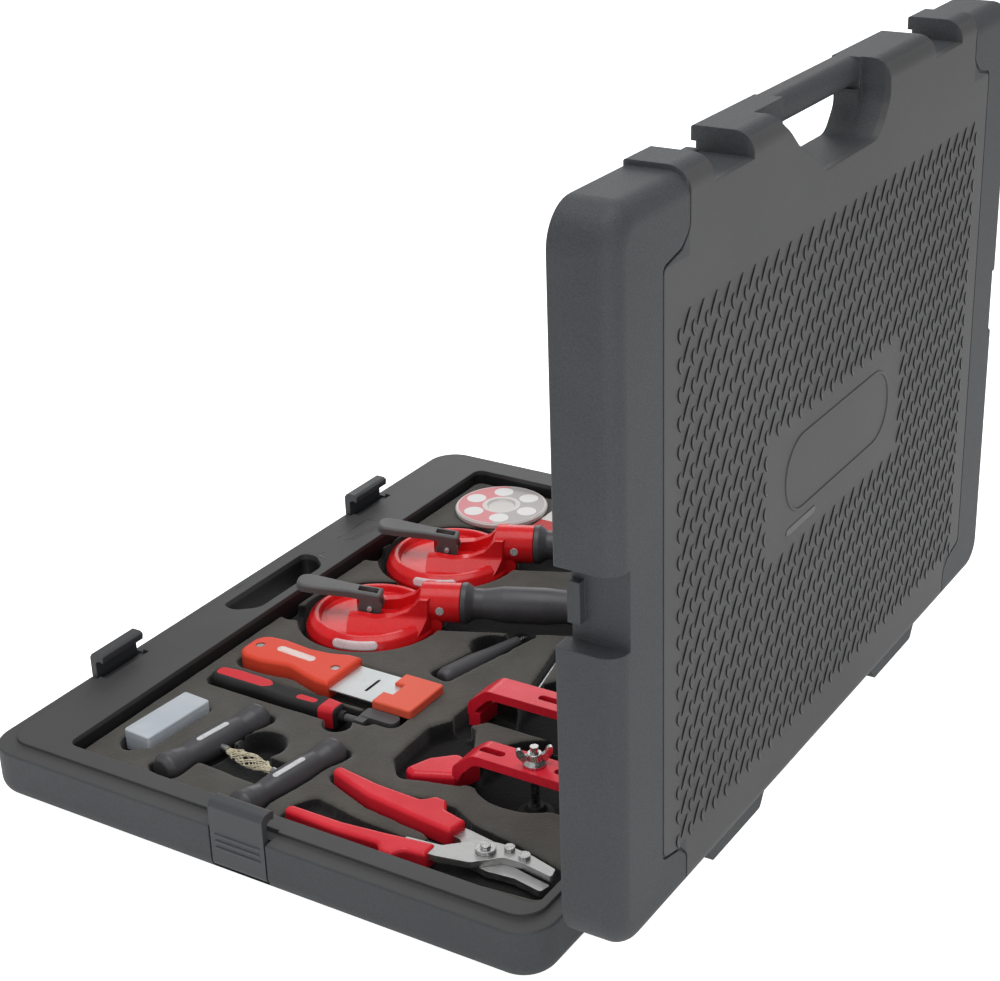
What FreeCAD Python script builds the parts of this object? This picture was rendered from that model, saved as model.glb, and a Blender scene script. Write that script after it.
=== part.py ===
import FreeCAD, Part
import math
import os
import Sketcher

# A glass-removal tool kit in an open moulded case. Millimetres, Z up. The base lies on z=0,
# centred on x=y=0, with its front at -Y and its hinge along X at +Y. The lid stands upright
# behind it. The tools lie in cut-outs in a foam insert.

Vector = FreeCAD.Vector
Rotation = FreeCAD.Rotation
Placement = FreeCAD.Placement
doc = FreeCAD.newDocument("ToolKit")

# --------------------------------------------------------------------------
# Driving dimensions
# --------------------------------------------------------------------------
DIMS = dict(
    # case
    case_length=600.0, case_width=462.0, base_height=38.0, lid_height=40.0, lid_width=457.0,
    plan_corner=25.0, edge_round=13.0, rim_lip=2.5, cap_from=217.0, cap_drop=3.4,
    rim_gap=0.3, shell_floor=3.0, tray_length=542.0, tray_front=176.0, tray_back=213.0,
    foam_top=29.0, foam_bottom=3.2, slot_length=110.0, slot_width=29.0, grip_bar=18.0,
    hinge_axis_back=240.0, hinge_axis_up=30.0, hinge_barrel=7.0, hinge_pin=2.5,
    running_gap=0.06, latch_width=45.0, latch_top=58.0, latch_spread=163.0,
    latch_pivot_up=10.5, latch_pin=1.5, latch_barrel=3.6,
    foot_length=84.0, foot_spread=133.0, foot_proud=11.0,
    # suction lifters
    cup_radius=57.0, dome_radius=53.4, collar_radius=16.0, collar_long=31.5, collar_up=43.0,
    pivot_up=38.5, lever_tilt=8.0, lifter_turn=113.4, lever_pin=2.0, plunger_radius=3.8,
    # scraper, blade case and wire pulls
    scraper_thick=14.0, blade_thick=1.2, guard_thick=6.6, box_long=64.0, box_wide=25.0,
    pull_length=98.0, cord_radius=1.6,
    # pliers and strap clamps
    arm_thick=5.0, grip_thick=13.0, strap_wide=23.0, strap_thick=7.0, stud_radius=3.0,
    pad_radius=13.0,
    # reel, rod, wire starter and carton
    disc_radius=41.0, disc_thick=4.9, rod_radius=1.6, picker_long=92.0,
    carton_long=44.0, carton_wide=24.0, carton_high=12.0,
)
sheet = doc.addObject("Spreadsheet::Sheet", "Dims")
for row, (alias, value) in enumerate(DIMS.items(), start=1):
    sheet.set("A%d" % row, alias)
    sheet.set("B%d" % row, str(value))
    sheet.setAlias("B%d" % row, alias)
doc.recompute()


# --------------------------------------------------------------------------
# Building helpers
# --------------------------------------------------------------------------
def bind(obj, prop, value):
    """Set a number, or an expression on the sheet with its aliases in braces."""
    if isinstance(value, str):
        obj.setExpression(prop, value.replace("{", "Dims.").replace("}", ""))
    else:
        setattr(obj, prop, value)


def placed(pos, turn=0.0):
    """A placement at pos, turned about the vertical."""
    return Placement(Vector(*pos), Rotation(Vector(0, 0, 1), turn))


def laid(pos, turn):
    """Lays a Z-axis solid down along +X, turns it about the vertical and moves it."""
    lay_down = Rotation(Vector(0, 1, 0), 90)
    return Placement(Vector(*pos), Rotation(Vector(0, 0, 1), turn).multiply(lay_down))


def in_frame(frame, obj):
    """Carry an object placed in a local frame into the case's frame."""
    obj.Placement = frame.multiply(obj.Placement)
    return obj


def box(name, length, width, height, pos):
    obj = doc.addObject("Part::Box", name)
    bind(obj, "Length", length)
    bind(obj, "Width", width)
    bind(obj, "Height", height)
    obj.Placement = placed(pos)
    return obj


def cyl(name, radius, height, pos, direction=(0, 0, 1)):
    obj = doc.addObject("Part::Cylinder", name)
    bind(obj, "Radius", radius)
    bind(obj, "Height", height)
    obj.Placement = Placement(Vector(*pos), Rotation(Vector(0, 0, 1), Vector(*direction)))
    return obj


def fuse(name, objs):
    obj = doc.addObject("Part::MultiFuse", name)
    obj.Shapes = objs
    obj.Refine = True
    return obj


def cut(name, base, tool):
    obj = doc.addObject("Part::Cut", name)
    obj.Base = base
    obj.Tool = tool
    return obj


def common(name, first, second):
    obj = doc.addObject("Part::MultiCommon", name)
    obj.Shapes = [first, second]
    return obj


def rect(x0, y0, x1, y1, radius=0.0):
    """Corner points of a rectangle, all with one corner radius."""
    return [(x0, y0, radius), (x1, y0, radius), (x1, y1, radius), (x0, y1, radius)]


def outline(points):
    """Lines and tangent arcs round a closed polygon.

    Each point is (x, y) or (x, y, corner radius). An arc takes at most 0.49 of either side.
    """
    count = len(points)
    corners = [Vector(p[0], p[1], 0) for p in points]
    radii = [p[2] if len(p) > 2 else 0.0 for p in points]
    ends = []  # (arc start, arc end, arc middle or None)
    for i in range(count):
        corner, before, after = corners[i], corners[i - 1], corners[(i + 1) % count]
        if radii[i] <= 0:
            ends.append((corner, corner, None))
            continue
        back = (before - corner).normalize()
        ahead = (after - corner).normalize()
        angle = back.getAngle(ahead)
        if angle > math.pi - 1e-3:
            ends.append((corner, corner, None))
            continue
        reach = min(radii[i] / math.tan(angle / 2),
                    0.49 * (before - corner).Length, 0.49 * (after - corner).Length)
        radius = reach * math.tan(angle / 2)
        bisector = (back + ahead).normalize()
        centre = corner + bisector * (radius / math.sin(angle / 2))
        ends.append((corner + back * reach, corner + ahead * reach, centre - bisector * radius))
    edges = []
    for i in range(count):
        start, end, middle = ends[i]
        if middle is not None:
            edges.append(Part.Arc(start, middle, end))
        following = ends[(i + 1) % count][0]
        if (following - end).Length > 1e-6:
            edges.append(Part.LineSegment(end, following))
    return edges


def sketch(body, name, role, loops, offset=0.0):
    """A sketch of loops; a loop is a list of outline points or one circle (x, y, radius)."""
    plane = [f for f in body.Origin.OriginFeatures if f.Role == role][0]
    obj = body.newObject("Sketcher::SketchObject", name)
    obj.AttachmentSupport = [(plane, "")]
    obj.MapMode = "FlatFace"
    if offset:
        obj.AttachmentOffset = Placement(Vector(0, 0, offset), Rotation())
    for points in loops:
        if not isinstance(points[0], tuple):
            x, y, radius = points
            obj.addGeometry(Part.Circle(Vector(x, y, 0), Vector(0, 0, 1), radius), False)
            continue
        for edge in outline(points):
            obj.addGeometry(edge, False)
    return obj


def pad(name, loops, height, offset=0.0, role="XY_Plane"):
    """A prism from a sketch.

    On XY it rises along +Z from z=offset, on XZ it grows along -Y from y=-offset and on YZ
    along +X from x=offset.
    """
    body = doc.addObject("PartDesign::Body", name)
    profile = sketch(body, name + "_sketch", role, loops, offset)
    feature = body.newObject("PartDesign::Pad", name + "_pad")
    feature.Profile = profile
    bind(feature, "Length", height)
    body.Tip = feature
    return body


def turned(name, points):
    """A solid of revolution about Z from (radius, z, corner radius) points."""
    body = doc.addObject("PartDesign::Body", name)
    profile = sketch(body, name + "_sketch", "XZ_Plane", [points])
    feature = body.newObject("PartDesign::Revolution", name + "_turn")
    feature.Profile = profile
    feature.ReferenceAxis = (profile, ["V_Axis"])
    feature.Angle = 360.0
    body.Tip = feature
    return body


def rounded(name, base, pick, radius):
    """Fillet every edge of base that pick(edge) accepts."""
    doc.recompute()
    chosen = [i for i, e in enumerate(base.Shape.Edges, start=1) if pick(e)]
    if not chosen:
        raise RuntimeError("no edge to round on " + name)
    obj = doc.addObject("Part::Fillet", name)
    obj.Base = base
    obj.Edges = [(i, radius, radius) for i in chosen]
    doc.recompute()
    if obj.Shape.isNull() or not obj.Shape.isValid() or "Invalid" in obj.State:
        raise RuntimeError("rounding failed on " + name)
    return obj


def at_z(z):
    """Picks the edges that lie flat at height z."""
    def pick(edge):
        bounds = edge.BoundBox
        return abs(bounds.ZMin - z) < 0.02 and abs(bounds.ZMax - z) < 0.02
    return pick


NODES = []  # the exported pieces


def node(obj, label):
    obj.Label = label
    NODES.append(obj)


# --------------------------------------------------------------------------
# Places shared by the base, the lid and the latches
# --------------------------------------------------------------------------
HALF_LENGTH = DIMS["case_length"] / 2
HALF_WIDTH = DIMS["case_width"] / 2
FRONT = -HALF_WIDTH
BASE_TOP = DIMS["base_height"]
LID_RIM = DIMS["lid_height"]
HALF_TRAY = DIMS["tray_length"] / 2
TRAY_FRONT = -DIMS["tray_front"]
TRAY_BACK = DIMS["tray_back"]
FLOOR = DIMS["shell_floor"]
CORNER = DIMS["plan_corner"]
EDGE_ROUND = DIMS["edge_round"]
RIM_ROUND = 1.6
FOOT_LENGTH = DIMS["foot_length"]
FOOT_SPREAD = DIMS["foot_spread"]

HINGE_XS = (-212.0, 0.0, 212.0)
HINGE_Y = DIMS["hinge_axis_back"]
HINGE_Z = DIMS["hinge_axis_up"]

# Carry slot, in plan
HALF_SLOT = DIMS["slot_length"] / 2
SLOT_FRONT = FRONT + DIMS["grip_bar"]
SLOT_BACK = SLOT_FRONT + DIMS["slot_width"]
SLOT = [(-HALF_SLOT, SLOT_FRONT, 6), (HALF_SLOT - 3, SLOT_FRONT, 6),
        (HALF_SLOT - 1, SLOT_FRONT + 13, 10), (HALF_SLOT - 14, SLOT_BACK, 15),
        (-HALF_SLOT + 12, SLOT_BACK, 15), (-HALF_SLOT - 1, SLOT_FRONT + 13, 12)]

# Latch frames: the wall plane is y=0, inwards is +y, x runs along the wall
LATCH_WIDTH = DIMS["latch_width"]
LATCH_PIVOT_IN = 3.9
LATCH_PIVOT_Z = DIMS["latch_pivot_up"]
LATCH_FRAMES = {
    "front_left": placed((-DIMS["latch_spread"], FRONT, 0)),
    "front_right": placed((DIMS["latch_spread"], FRONT, 0)),
    "side_left": placed((-HALF_LENGTH, 0, 0), -90.0),
    "side_right": placed((HALF_LENGTH, 0, 0), 90.0),
}


def latch_box(name, key, length, width, height, x, y, z):
    """A box given in the frame of one latch."""
    return in_frame(LATCH_FRAMES[key], box(name + key, length, width, height, (x, y, z)))


def latch_rods(prefix):
    """A rod on each latch's pivot axis, running 5 past the leaf at both ends."""
    rods = []
    for key, frame in LATCH_FRAMES.items():
        start = frame.multVec(Vector(-LATCH_WIDTH / 2 - 5, LATCH_PIVOT_IN, LATCH_PIVOT_Z))
        along = frame.Rotation.multVec(Vector(1, 0, 0))
        rods.append(cyl(prefix + key, "{latch_pin}", "{latch_width} + 10", start, along))
    return rods


def hinge_rods(prefix):
    return [cyl("%s%d" % (prefix, i), "{hinge_pin}", 42, (x - 21, HINGE_Y, HINGE_Z), (1, 0, 0))
            for i, x in enumerate(HINGE_XS)]


def wall_cells(prefix, side_x, side_spans, front_spans, front_y, front_width, height, z):
    """Closed cells between the outer and the inner wall."""
    cells = []
    for side in (-1, 1):
        for k, (y0, y1) in enumerate(side_spans):
            cells.append(box("%s_cell_side_%d%d" % (prefix, side + 1, k),
                             14.0, y1 - y0, height, (side * side_x - 7, y0, z)))
    for k, (x0, x1) in enumerate(front_spans):
        cells.append(box("%s_cell_front_%d" % (prefix, k),
                         x1 - x0, front_width, height, (x0, front_y, z)))
    return cells


# --------------------------------------------------------------------------
# Case base: a twin-wall shell with a tray opening, a carry slot, recesses for
# four latches, rear knuckles and two rear feet
# --------------------------------------------------------------------------
def base_solid():
    block = pad("base_block",
                [rect(-HALF_LENGTH, -HALF_WIDTH, HALF_LENGTH, HALF_WIDTH, CORNER)],
                "{base_height}")
    block = rounded("base_round", block, at_z(0), EDGE_ROUND)
    block = rounded("base_soft", block, at_z(BASE_TOP), RIM_ROUND)
    lip = pad("base_lip",
              [rect(-HALF_LENGTH + 14, FRONT + 10, HALF_LENGTH - 14, HALF_WIDTH - 12, 18)],
              "{rim_lip} + 1", BASE_TOP - 1)
    feet = [box("base_foot_%d" % (side + 1), "{foot_length}", 9, 22,
                (side * FOOT_SPREAD - FOOT_LENGTH / 2, HALF_WIDTH - 1, 8))
            for side in (-1, 1)]
    knuckles = []
    for i, hinge_x in enumerate(HINGE_XS):
        for k, off in enumerate((-20.0, 8.0)):
            x = hinge_x + off
            knuckles.append(cyl("base_barrel_%d%d" % (i, k), "{hinge_barrel}", 12,
                                (x, HINGE_Y, HINGE_Z), (1, 0, 0)))
            knuckles.append(box("base_web_%d%d" % (i, k), 12, 10.5, 12.5,
                                (x, HALF_WIDTH - 1, HINGE_Z - 12.5)))
    return fuse("base_add", [block, lip] + feet + knuckles)


def base_cuts():
    tray = pad("base_tray", [rect(-HALF_TRAY, TRAY_FRONT, HALF_TRAY, TRAY_BACK, 8)],
               "{base_height} + 10", FLOOR)
    slot = pad("base_slot", [SLOT], "{base_height} + 20", -5)
    # a wider hollow round the slot from below
    scoop = pad("base_scoop", [[
        (-HALF_SLOT - 5, FRONT - 20), (HALF_SLOT + 5, FRONT - 20),
        (HALF_SLOT + 5, SLOT_BACK + 3, 20), (-HALF_SLOT - 5, SLOT_BACK + 3, 20)]],
        "{base_height} / 2 - 2", -4)
    latch_cuts = []
    x = -(LATCH_WIDTH + 3) / 2
    for key in LATCH_FRAMES:
        latch_cuts.append(latch_box("base_recess_", key, "{latch_width} + 3", 17.9, 60,
                                    x, -10, 5))
        latch_cuts.append(latch_box("base_notch_", key, "{latch_width} + 3", 26.0, 10,
                                    x, -10, BASE_TOP - 1.0))
    cells = wall_cells("base", side_x=284, side_spans=((-195, -34), (34, 198)),
                       front_spans=((-262, -196), (-130, -74), (74, 130), (196, 262)),
                       front_y=-218, front_width=38, height=26, z=8)
    return fuse("base_tools", [tray, slot, scoop] + latch_cuts + hinge_rods("hinge_bore_")
                + cells + latch_rods("latch_bore_"))


node(cut("base_shell", base_solid(), base_cuts()), "base_shell")
node(fuse("latch_pins", latch_rods("latch_pin_")), "latch_pins")
node(fuse("hinge_pins", hinge_rods("hinge_pin_")), "hinge_pins")

# --------------------------------------------------------------------------
# Latches: a flat ribbed leaf on a bottom barrel, hooked inwards at the top
# --------------------------------------------------------------------------
LATCH_TOP = DIMS["latch_top"]
LATCH_PROFILE = [  # (y inwards, z, corner radius)
    (0.0, LATCH_PIVOT_Z), (5.2, 8.2), (5.2, 50.5, 3), (9.5, 52.0, 1.5), (12.6, 50.6, 0.8),
    (13.4, 56.5, 1.4), (10.5, LATCH_TOP, 1.5), (2.5, LATCH_TOP, 3.5), (0.0, 54.0, 2)]


def build_latch(key, frame):
    left = -LATCH_WIDTH / 2
    leaf = pad("leaf_" + key, [LATCH_PROFILE], "{latch_width}", left, "YZ_Plane")
    barrel = cyl("leaf_barrel_" + key, "{latch_barrel}", "{latch_width}",
                 (left, LATCH_PIVOT_IN, LATCH_PIVOT_Z), (1, 0, 0))
    bore = cyl("leaf_bore_" + key, "{latch_pin} + {running_gap}", "{latch_width} + 4",
               (left - 2, LATCH_PIVOT_IN, LATCH_PIVOT_Z), (1, 0, 0))
    ribs = [box("leaf_rib_%s_%d" % (key, k), LATCH_WIDTH - 8, 0.9, 1.6, (left + 4, -0.8, z))
            for k, z in enumerate((22, 27, 32))]
    latch = cut("latch_" + key, fuse("leaf_body_" + key, [leaf, barrel] + ribs), bore)
    latch.Placement = frame
    node(latch, "latch_" + key)


for key, frame in LATCH_FRAMES.items():
    build_latch(key, frame)

# --------------------------------------------------------------------------
# Lid: built open side up in its own frame, then stood on the hinge. Local
# y=FRONT is the latch side and z=0 is the outer face
# --------------------------------------------------------------------------
LID_BACK = FRONT + DIMS["lid_width"]
CAP_X = DIMS["cap_from"]
LID_HINGE_Z = LID_RIM + (BASE_TOP - HINGE_Z) + DIMS["rim_gap"]
# local (x, y, z) stands at (-x, HINGE_Y + LID_HINGE_Z - z, HINGE_Z + HINGE_Y - y)
LID_STAND = Placement(FreeCAD.Matrix(
    -1, 0, 0, 0,
    0, 0, -1, HINGE_Y + LID_HINGE_Z,
    0, -1, 0, HINGE_Z + HINGE_Y,
    0, 0, 0, 1))
# Lopsided hollow round the carry slot, cut from the outer face
LID_SCOOP = [
    (-104, FRONT - 20), (60, FRONT - 20), (60, FRONT + 8, 8), (62, FRONT + 24, 14),
    (48, FRONT + 44, 18), (0, FRONT + 45, 30), (-46, FRONT + 40, 24), (-78, FRONT + 22, 16),
    (-96, FRONT + 6, 10)]
LID_ARM = [  # (y, z, corner radius) of the arm between a barrel and the wall
    (HINGE_Y - 14.9, LID_RIM - 12), (HINGE_Y - 8, LID_RIM - 12),
    (HINGE_Y + 6.9, LID_HINGE_Z - 2), (HINGE_Y + 6.9, LID_HINGE_Z),
    (HINGE_Y - 5.5, LID_HINGE_Z + 3.5), (HINGE_Y - 7.5, LID_RIM - 0.6),
    (HINGE_Y - 14.9, LID_RIM - 1.2)]
LID_BAR = [  # (y, z, corner radius)
    (FRONT, LID_RIM - 19.5, 8), (FRONT + 18, LID_RIM - 19.5, 7),
    (FRONT + 18, LID_RIM - 3.3, 2), (FRONT + 8.6, LID_RIM - 3.3),
    (FRONT + 8.6, LID_RIM), (FRONT, LID_RIM, 6)]


def panel_loop(inset, reach):
    """The outer panel; it runs out over the latch and hinge edges between the corners."""
    wide, narrow = HALF_LENGTH - 52.5 - inset, CAP_X - inset
    return [
        (-narrow, FRONT - reach), (narrow, FRONT - reach), (narrow, FRONT + 33, 8),
        (narrow + 9, FRONT + 41 + inset, 8), (wide, FRONT + 46 + inset, 5),
        (wide, LID_BACK - 40 - inset, 5), (narrow + 9, LID_BACK - 35 - inset, 8),
        (narrow, LID_BACK - 27, 8), (narrow, LID_BACK + reach), (-narrow, LID_BACK + reach),
        (-narrow, LID_BACK - 27, 8), (-narrow - 9, LID_BACK - 35 - inset, 8),
        (-wide, LID_BACK - 40 - inset, 5), (-wide, FRONT + 46 + inset, 5),
        (-narrow - 9, FRONT + 41 + inset, 8), (-narrow, FRONT + 33, 8)]


def lid_solid():
    # the corners beyond cap_from stand back from the latch edge by cap_drop
    block = pad("lid_block", [rect(-HALF_LENGTH, FRONT + DIMS["cap_drop"],
                                   HALF_LENGTH, LID_BACK, CORNER)], "{lid_height}")
    block = rounded("lid_round", block, at_z(0), EDGE_ROUND)
    block = rounded("lid_soft", block, at_z(LID_RIM), RIM_ROUND)
    middle = pad("lid_mid", [rect(-CAP_X, FRONT, CAP_X, FRONT + 42)], "{lid_height}")
    middle = rounded(
        "lid_mid_round", middle,
        lambda e: e.BoundBox.ZMax < 0.02 and e.BoundBox.YMax < FRONT + 1, EDGE_ROUND)
    middle = rounded(
        "lid_mid_soft", middle,
        lambda e: e.BoundBox.ZMin > LID_RIM - 0.02 and e.BoundBox.YMax < FRONT + 1, RIM_ROUND)
    parts = [block, middle]
    half_foot, proud = FOOT_LENGTH / 2, DIMS["foot_proud"]
    for side in (-1, 1):
        foot = pad("lid_foot_%d" % (side + 1), [[
            (-half_foot, 0), (half_foot, 0),
            (half_foot - 7, proud, 4), (-half_foot + 7, proud, 4)]], 22)
        foot.Placement = placed((side * FOOT_SPREAD, LID_BACK - 1, 6))
        parts.append(foot)
    for i, x in enumerate(HINGE_XS):
        parts.append(cyl("lid_barrel_%d" % i, "{hinge_barrel}", 15.4,
                         (x - 7.7, HINGE_Y, LID_HINGE_Z), (1, 0, 0)))
        parts.append(pad("lid_arm_%d" % i, [LID_ARM], 15.4, x - 7.7, "YZ_Plane"))
    return fuse("lid_add", parts)


def lid_cuts():
    tools = [
        pad("lid_cavity", [rect(-HALF_TRAY, TRAY_FRONT, HALF_TRAY, TRAY_BACK - 5, 8)],
            "{lid_height}", FLOOR),
        pad("lid_rebate",
            [rect(-HALF_LENGTH + 13, FRONT + 9, HALF_LENGTH - 13, HALF_WIDTH - 11, 18)],
            10, LID_RIM - DIMS["rim_lip"] - 0.7),
        pad("lid_slot", [[(-x, y, radius) for x, y, radius in reversed(SLOT)]],
            "{lid_height} + 20", -5),
        pad("lid_scoop_a", [LID_SCOOP], 24, -4),
        box("lid_bar_gap", 116, 40, "{lid_height} + 20", (-58, FRONT - 20, -10)),
    ]
    for key in LATCH_FRAMES:
        tools.append(latch_box("lid_recess_", key, "{latch_width} + 5", 25.0,
                               "{lid_height} + 20", -(LATCH_WIDTH + 5) / 2, -10, -10))
    tools += wall_cells("lid", side_x=282, side_spans=((-195, -36), (36, 196)),
                        front_spans=((-262, -198), (-128, -74), (74, 128), (198, 262)),
                        front_y=-214, front_width=32, height=24, z=9)
    for i, x in enumerate(HINGE_XS):
        tools.append(cyl("lid_bore_%d" % i, "{hinge_pin} + {running_gap}", 30,
                         (x - 15, HINGE_Y, LID_HINGE_Z), (1, 0, 0)))
    # a shallow groove parts the frame from the panel on the outer face
    groove_out = pad("groove_out", [panel_loop(0.0, 12.0)], 2.2, -0.6)
    groove_in = pad("groove_in", [panel_loop(1.7, 14.0)], 4.0, -1)
    tools.append(cut("groove", groove_out, groove_in))
    return fuse("lid_tools", tools)


def build_lid():
    shell = cut("lid_cut", lid_solid(), lid_cuts())
    # with the lid closed, each latch hook sits above one of these lugs
    lugs = [latch_box("lid_lug_", key, 26, 6.0, 8.0, -13, 9.3, LID_RIM - 11.4)
            for key in LATCH_FRAMES]
    bar = pad("lid_bar", [LID_BAR], 122, -61, "YZ_Plane")
    lid = fuse("lid_shell", [shell, bar] + lugs)
    lid.Placement = LID_STAND
    node(lid, "lid_shell")
    foam = pad("lid_foam", [rect(-HALF_TRAY + 0.6, TRAY_FRONT + 0.6,
                                 HALF_TRAY - 0.6, TRAY_BACK - 5.6, 7.5)], 8, FLOOR + 0.1)
    foam.Placement = LID_STAND
    node(foam, "lid_foam")


build_lid()

# --------------------------------------------------------------------------
# Where the tools lie, shared by the foam's cut-outs and the tools
# --------------------------------------------------------------------------
LIFTER_TURN = DIMS["lifter_turn"]
LIFTER_FRAMES = {"a": placed((-10.0, -110.6, 0), LIFTER_TURN),
                 "b": placed((-127.9, -114.3, 0), LIFTER_TURN)}
BLADE_CASE_FRAME = placed((200, -145, 0), -4)
BLADE_CASE_LONG, BLADE_CASE_WIDE = DIMS["box_long"], DIMS["box_wide"]
PULL_TURN = 171.0
PULLS = {"near": (204.5, -99.0), "far": (216.0, -21.5)}
# key: stud x, stud y, strap's near end y, strap's far end y
CLAMPS = {"b": (148.0, 138.0, 82.0, 204.0), "a": (69.0, 138.0, 44.0, 197.0)}
PICKER_Y, PICKER_TURN = 3, 166.5
REEL_X, REEL_Y = -228, -124
CARTON_X, CARTON_Y, CARTON_Z = -248, -82, 18

# --------------------------------------------------------------------------
# Foam insert with a cut-out for each tool. Plan outlines: (x, y, corner radius)
# --------------------------------------------------------------------------
POCKET_HEIGHT = 30  # takes every pocket out past the foam's top
SCRAPER_POCKET = [
    (69, -161, 10), (107, -161, 10), (107, -128, 20), (103, -104, 20), (113, -70, 6),
    (113, -28, 2), (61.5, -28, 2), (61.5, -70, 6), (67, -104, 20), (66, -128, 20)]
KNIFE_POCKET = [
    (116, -163, 8), (139, -163, 8), (140, -100, 20), (139, -40, 4), (132, -40),
    (132, -14, 3), (117, -14, 3), (117, -40), (114, -80, 20)]
PULL_POCKET = [  # x along the handle
    (-52, -14, 6), (-38, -13.5, 8), (-28, -11, 8), (0, -12.5, 20), (28, -11, 8),
    (38, -13.5, 8), (52, -14, 6), (52, 14, 6), (38, 13.5, 8), (28, 11, 8),
    (0, 12.5, 20), (-28, 11, 8), (-38, 13.5, 8), (-52, 14, 6)]
PLIERS_POCKET = [  # leaves room for the outer handle to swing
    (190, 2, 5), (203, 2, 5), (219, 46, 8), (225, 96, 6), (231, 108, 4), (236, 96, 6),
    (233, 50, 8), (226, 10, 5), (240, 2, 5), (263, 2, 5), (265, 50, 20), (269, 88, 4),
    (269, 104, 4), (257, 116, 6), (256, 160, 8), (252, 205, 8), (219, 205, 8),
    (207, 160, 8), (201, 122, 8), (190, 100, 5), (189, 80, 6), (196, 60, 10)]
LEAF_POCKET_B = [
    (92, 38, 9), (112, 26, 8), (160, 28, 9), (178, 44, 9), (172, 62, 9), (165, 90, 6),
    (131, 90, 6), (128, 74, 10), (98, 58, 9)]
LEAF_POCKET_A = [
    (52, 34, 5), (96, 34, 5), (96, 50, 5), (84, 60, 5), (84, 90, 4), (54, 90, 4), (54, 50, 4)]


def pocket(name, points, z, frame=None):
    obj = pad("hole_" + name, [points], POCKET_HEIGHT, z)
    if frame is not None:
        obj.Placement = frame
    return obj


def well(name, radius, x, y, z):
    return cyl("hole_" + name, radius, POCKET_HEIGHT, (x, y, z))


def foam_lifter_holes():
    holes = []
    for key, frame in LIFTER_FRAMES.items():
        centre = frame.Base
        holes.append(well("dome_" + key, "{cup_radius} + 3.0", centre.x, centre.y, 6))
        lever = [(-74, -12, 10), (0, -12), (0, 12), (-74, 12, 10)]
        grip = [(44, -19), (188, -19, 8), (188, 19, 8), (44, 19)]
        holes.append(pocket("lever_" + key, lever, 20, frame))
        holes.append(pocket("grip_" + key, grip, 22, frame))
    return holes


def foam_blade_holes():
    return [
        pocket("scraper", SCRAPER_POCKET, 23.6),
        pocket("knife", KNIFE_POCKET, 17),
        well("knife_thumb", 11, 140, -36, 12),
        pocket("knife_slot", [(104, -30, 6), (126, -30, 6), (126, 6, 7), (104, 6, 7)], 12),
        in_frame(BLADE_CASE_FRAME,
                 box("hole_box", "{box_long} + 2", "{box_wide} + 2", POCKET_HEIGHT,
                     (-(BLADE_CASE_LONG + 2) / 2, -(BLADE_CASE_WIDE + 2) / 2, 19))),
        well("box_thumb", 10, 232, -150, 17),
    ]


def foam_pull_holes():
    holes = [pocket("pull_" + key, PULL_POCKET, 16, placed((x, y, 0), PULL_TURN))
             for key, (x, y) in PULLS.items()]
    holes.append(well("pull_thumb", 18, 189, -66, 12))
    holes.append(pocket("cord", [(198, -92), (229, -92), (233, -28), (201, -28)], 20))
    return holes


def foam_clamp_holes():
    return [
        well("clamp_b", 46, 128, 128, 7),
        well("clamp_a", 42, 38, 104, 7),
        pocket("leaf_b", LEAF_POCKET_B, 14),
        pocket("leaf_a", LEAF_POCKET_A, 14),
        pocket("strap_b", [(134, 80), (162, 80), (162, 206, 4), (134, 206, 4)], 14),
        pocket("strap_a", [(54, 80), (84, 80), (84, 200, 4), (54, 200, 4)], 14),
        well("pad_a", "{pad_radius} + 2", CLAMPS["a"][0], CLAMPS["a"][1], 7),
    ]


def foam_small_holes():
    return [
        pocket("picker", rect(-50, -10, 49, 10, 4), 15, placed((0, PICKER_Y, 0), PICKER_TURN)),
        well("picker_thumb", 17, -14, 0, 12),
        pocket("rod", rect(-34, -3.5, 34, 3.5, 2), 19, placed((0, 58, 0), 192.0)),
        cyl("hole_disc", "{disc_radius} + 0.8", 10, (REEL_X, REEL_Y, 28.65)),
        box("hole_carton", "{carton_long} + 2", "{carton_wide} + 2", POCKET_HEIGHT,
            (CARTON_X - 1, CARTON_Y - 1, CARTON_Z - 1)),
    ]


def build_foam():
    block = pad("foam_block", [rect(-HALF_TRAY + 0.5, TRAY_FRONT + 0.5,
                                    HALF_TRAY - 0.5, TRAY_BACK - 0.5, 7.5)],
                "{foam_top} - {foam_bottom}", DIMS["foam_bottom"])
    holes = foam_lifter_holes() + foam_blade_holes() + foam_pull_holes()
    holes.append(pocket("pliers", PLIERS_POCKET, 21.5))
    holes += foam_clamp_holes() + foam_small_holes()
    node(cut("foam_insert", block, fuse("foam_tools", holes)), "foam_insert")


build_foam()

# --------------------------------------------------------------------------
# Suction lifters: rubber cup, cast dome with collar, plunger, cam lever, grip.
# Local frame: z up through the cup's centre, +x to the grip
# --------------------------------------------------------------------------
CUP_RADIUS = DIMS["cup_radius"]
DOME_RADIUS = DIMS["dome_radius"]
COLLAR_X, COLLAR_Z = 42.5, DIMS["collar_up"]
COLLAR_SCREW_X = 58.5
PLUNGER_WAY = 3.95
PIVOT_Z = DIMS["pivot_up"]
STUD_XS = (-12.5, 12.5)
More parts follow.
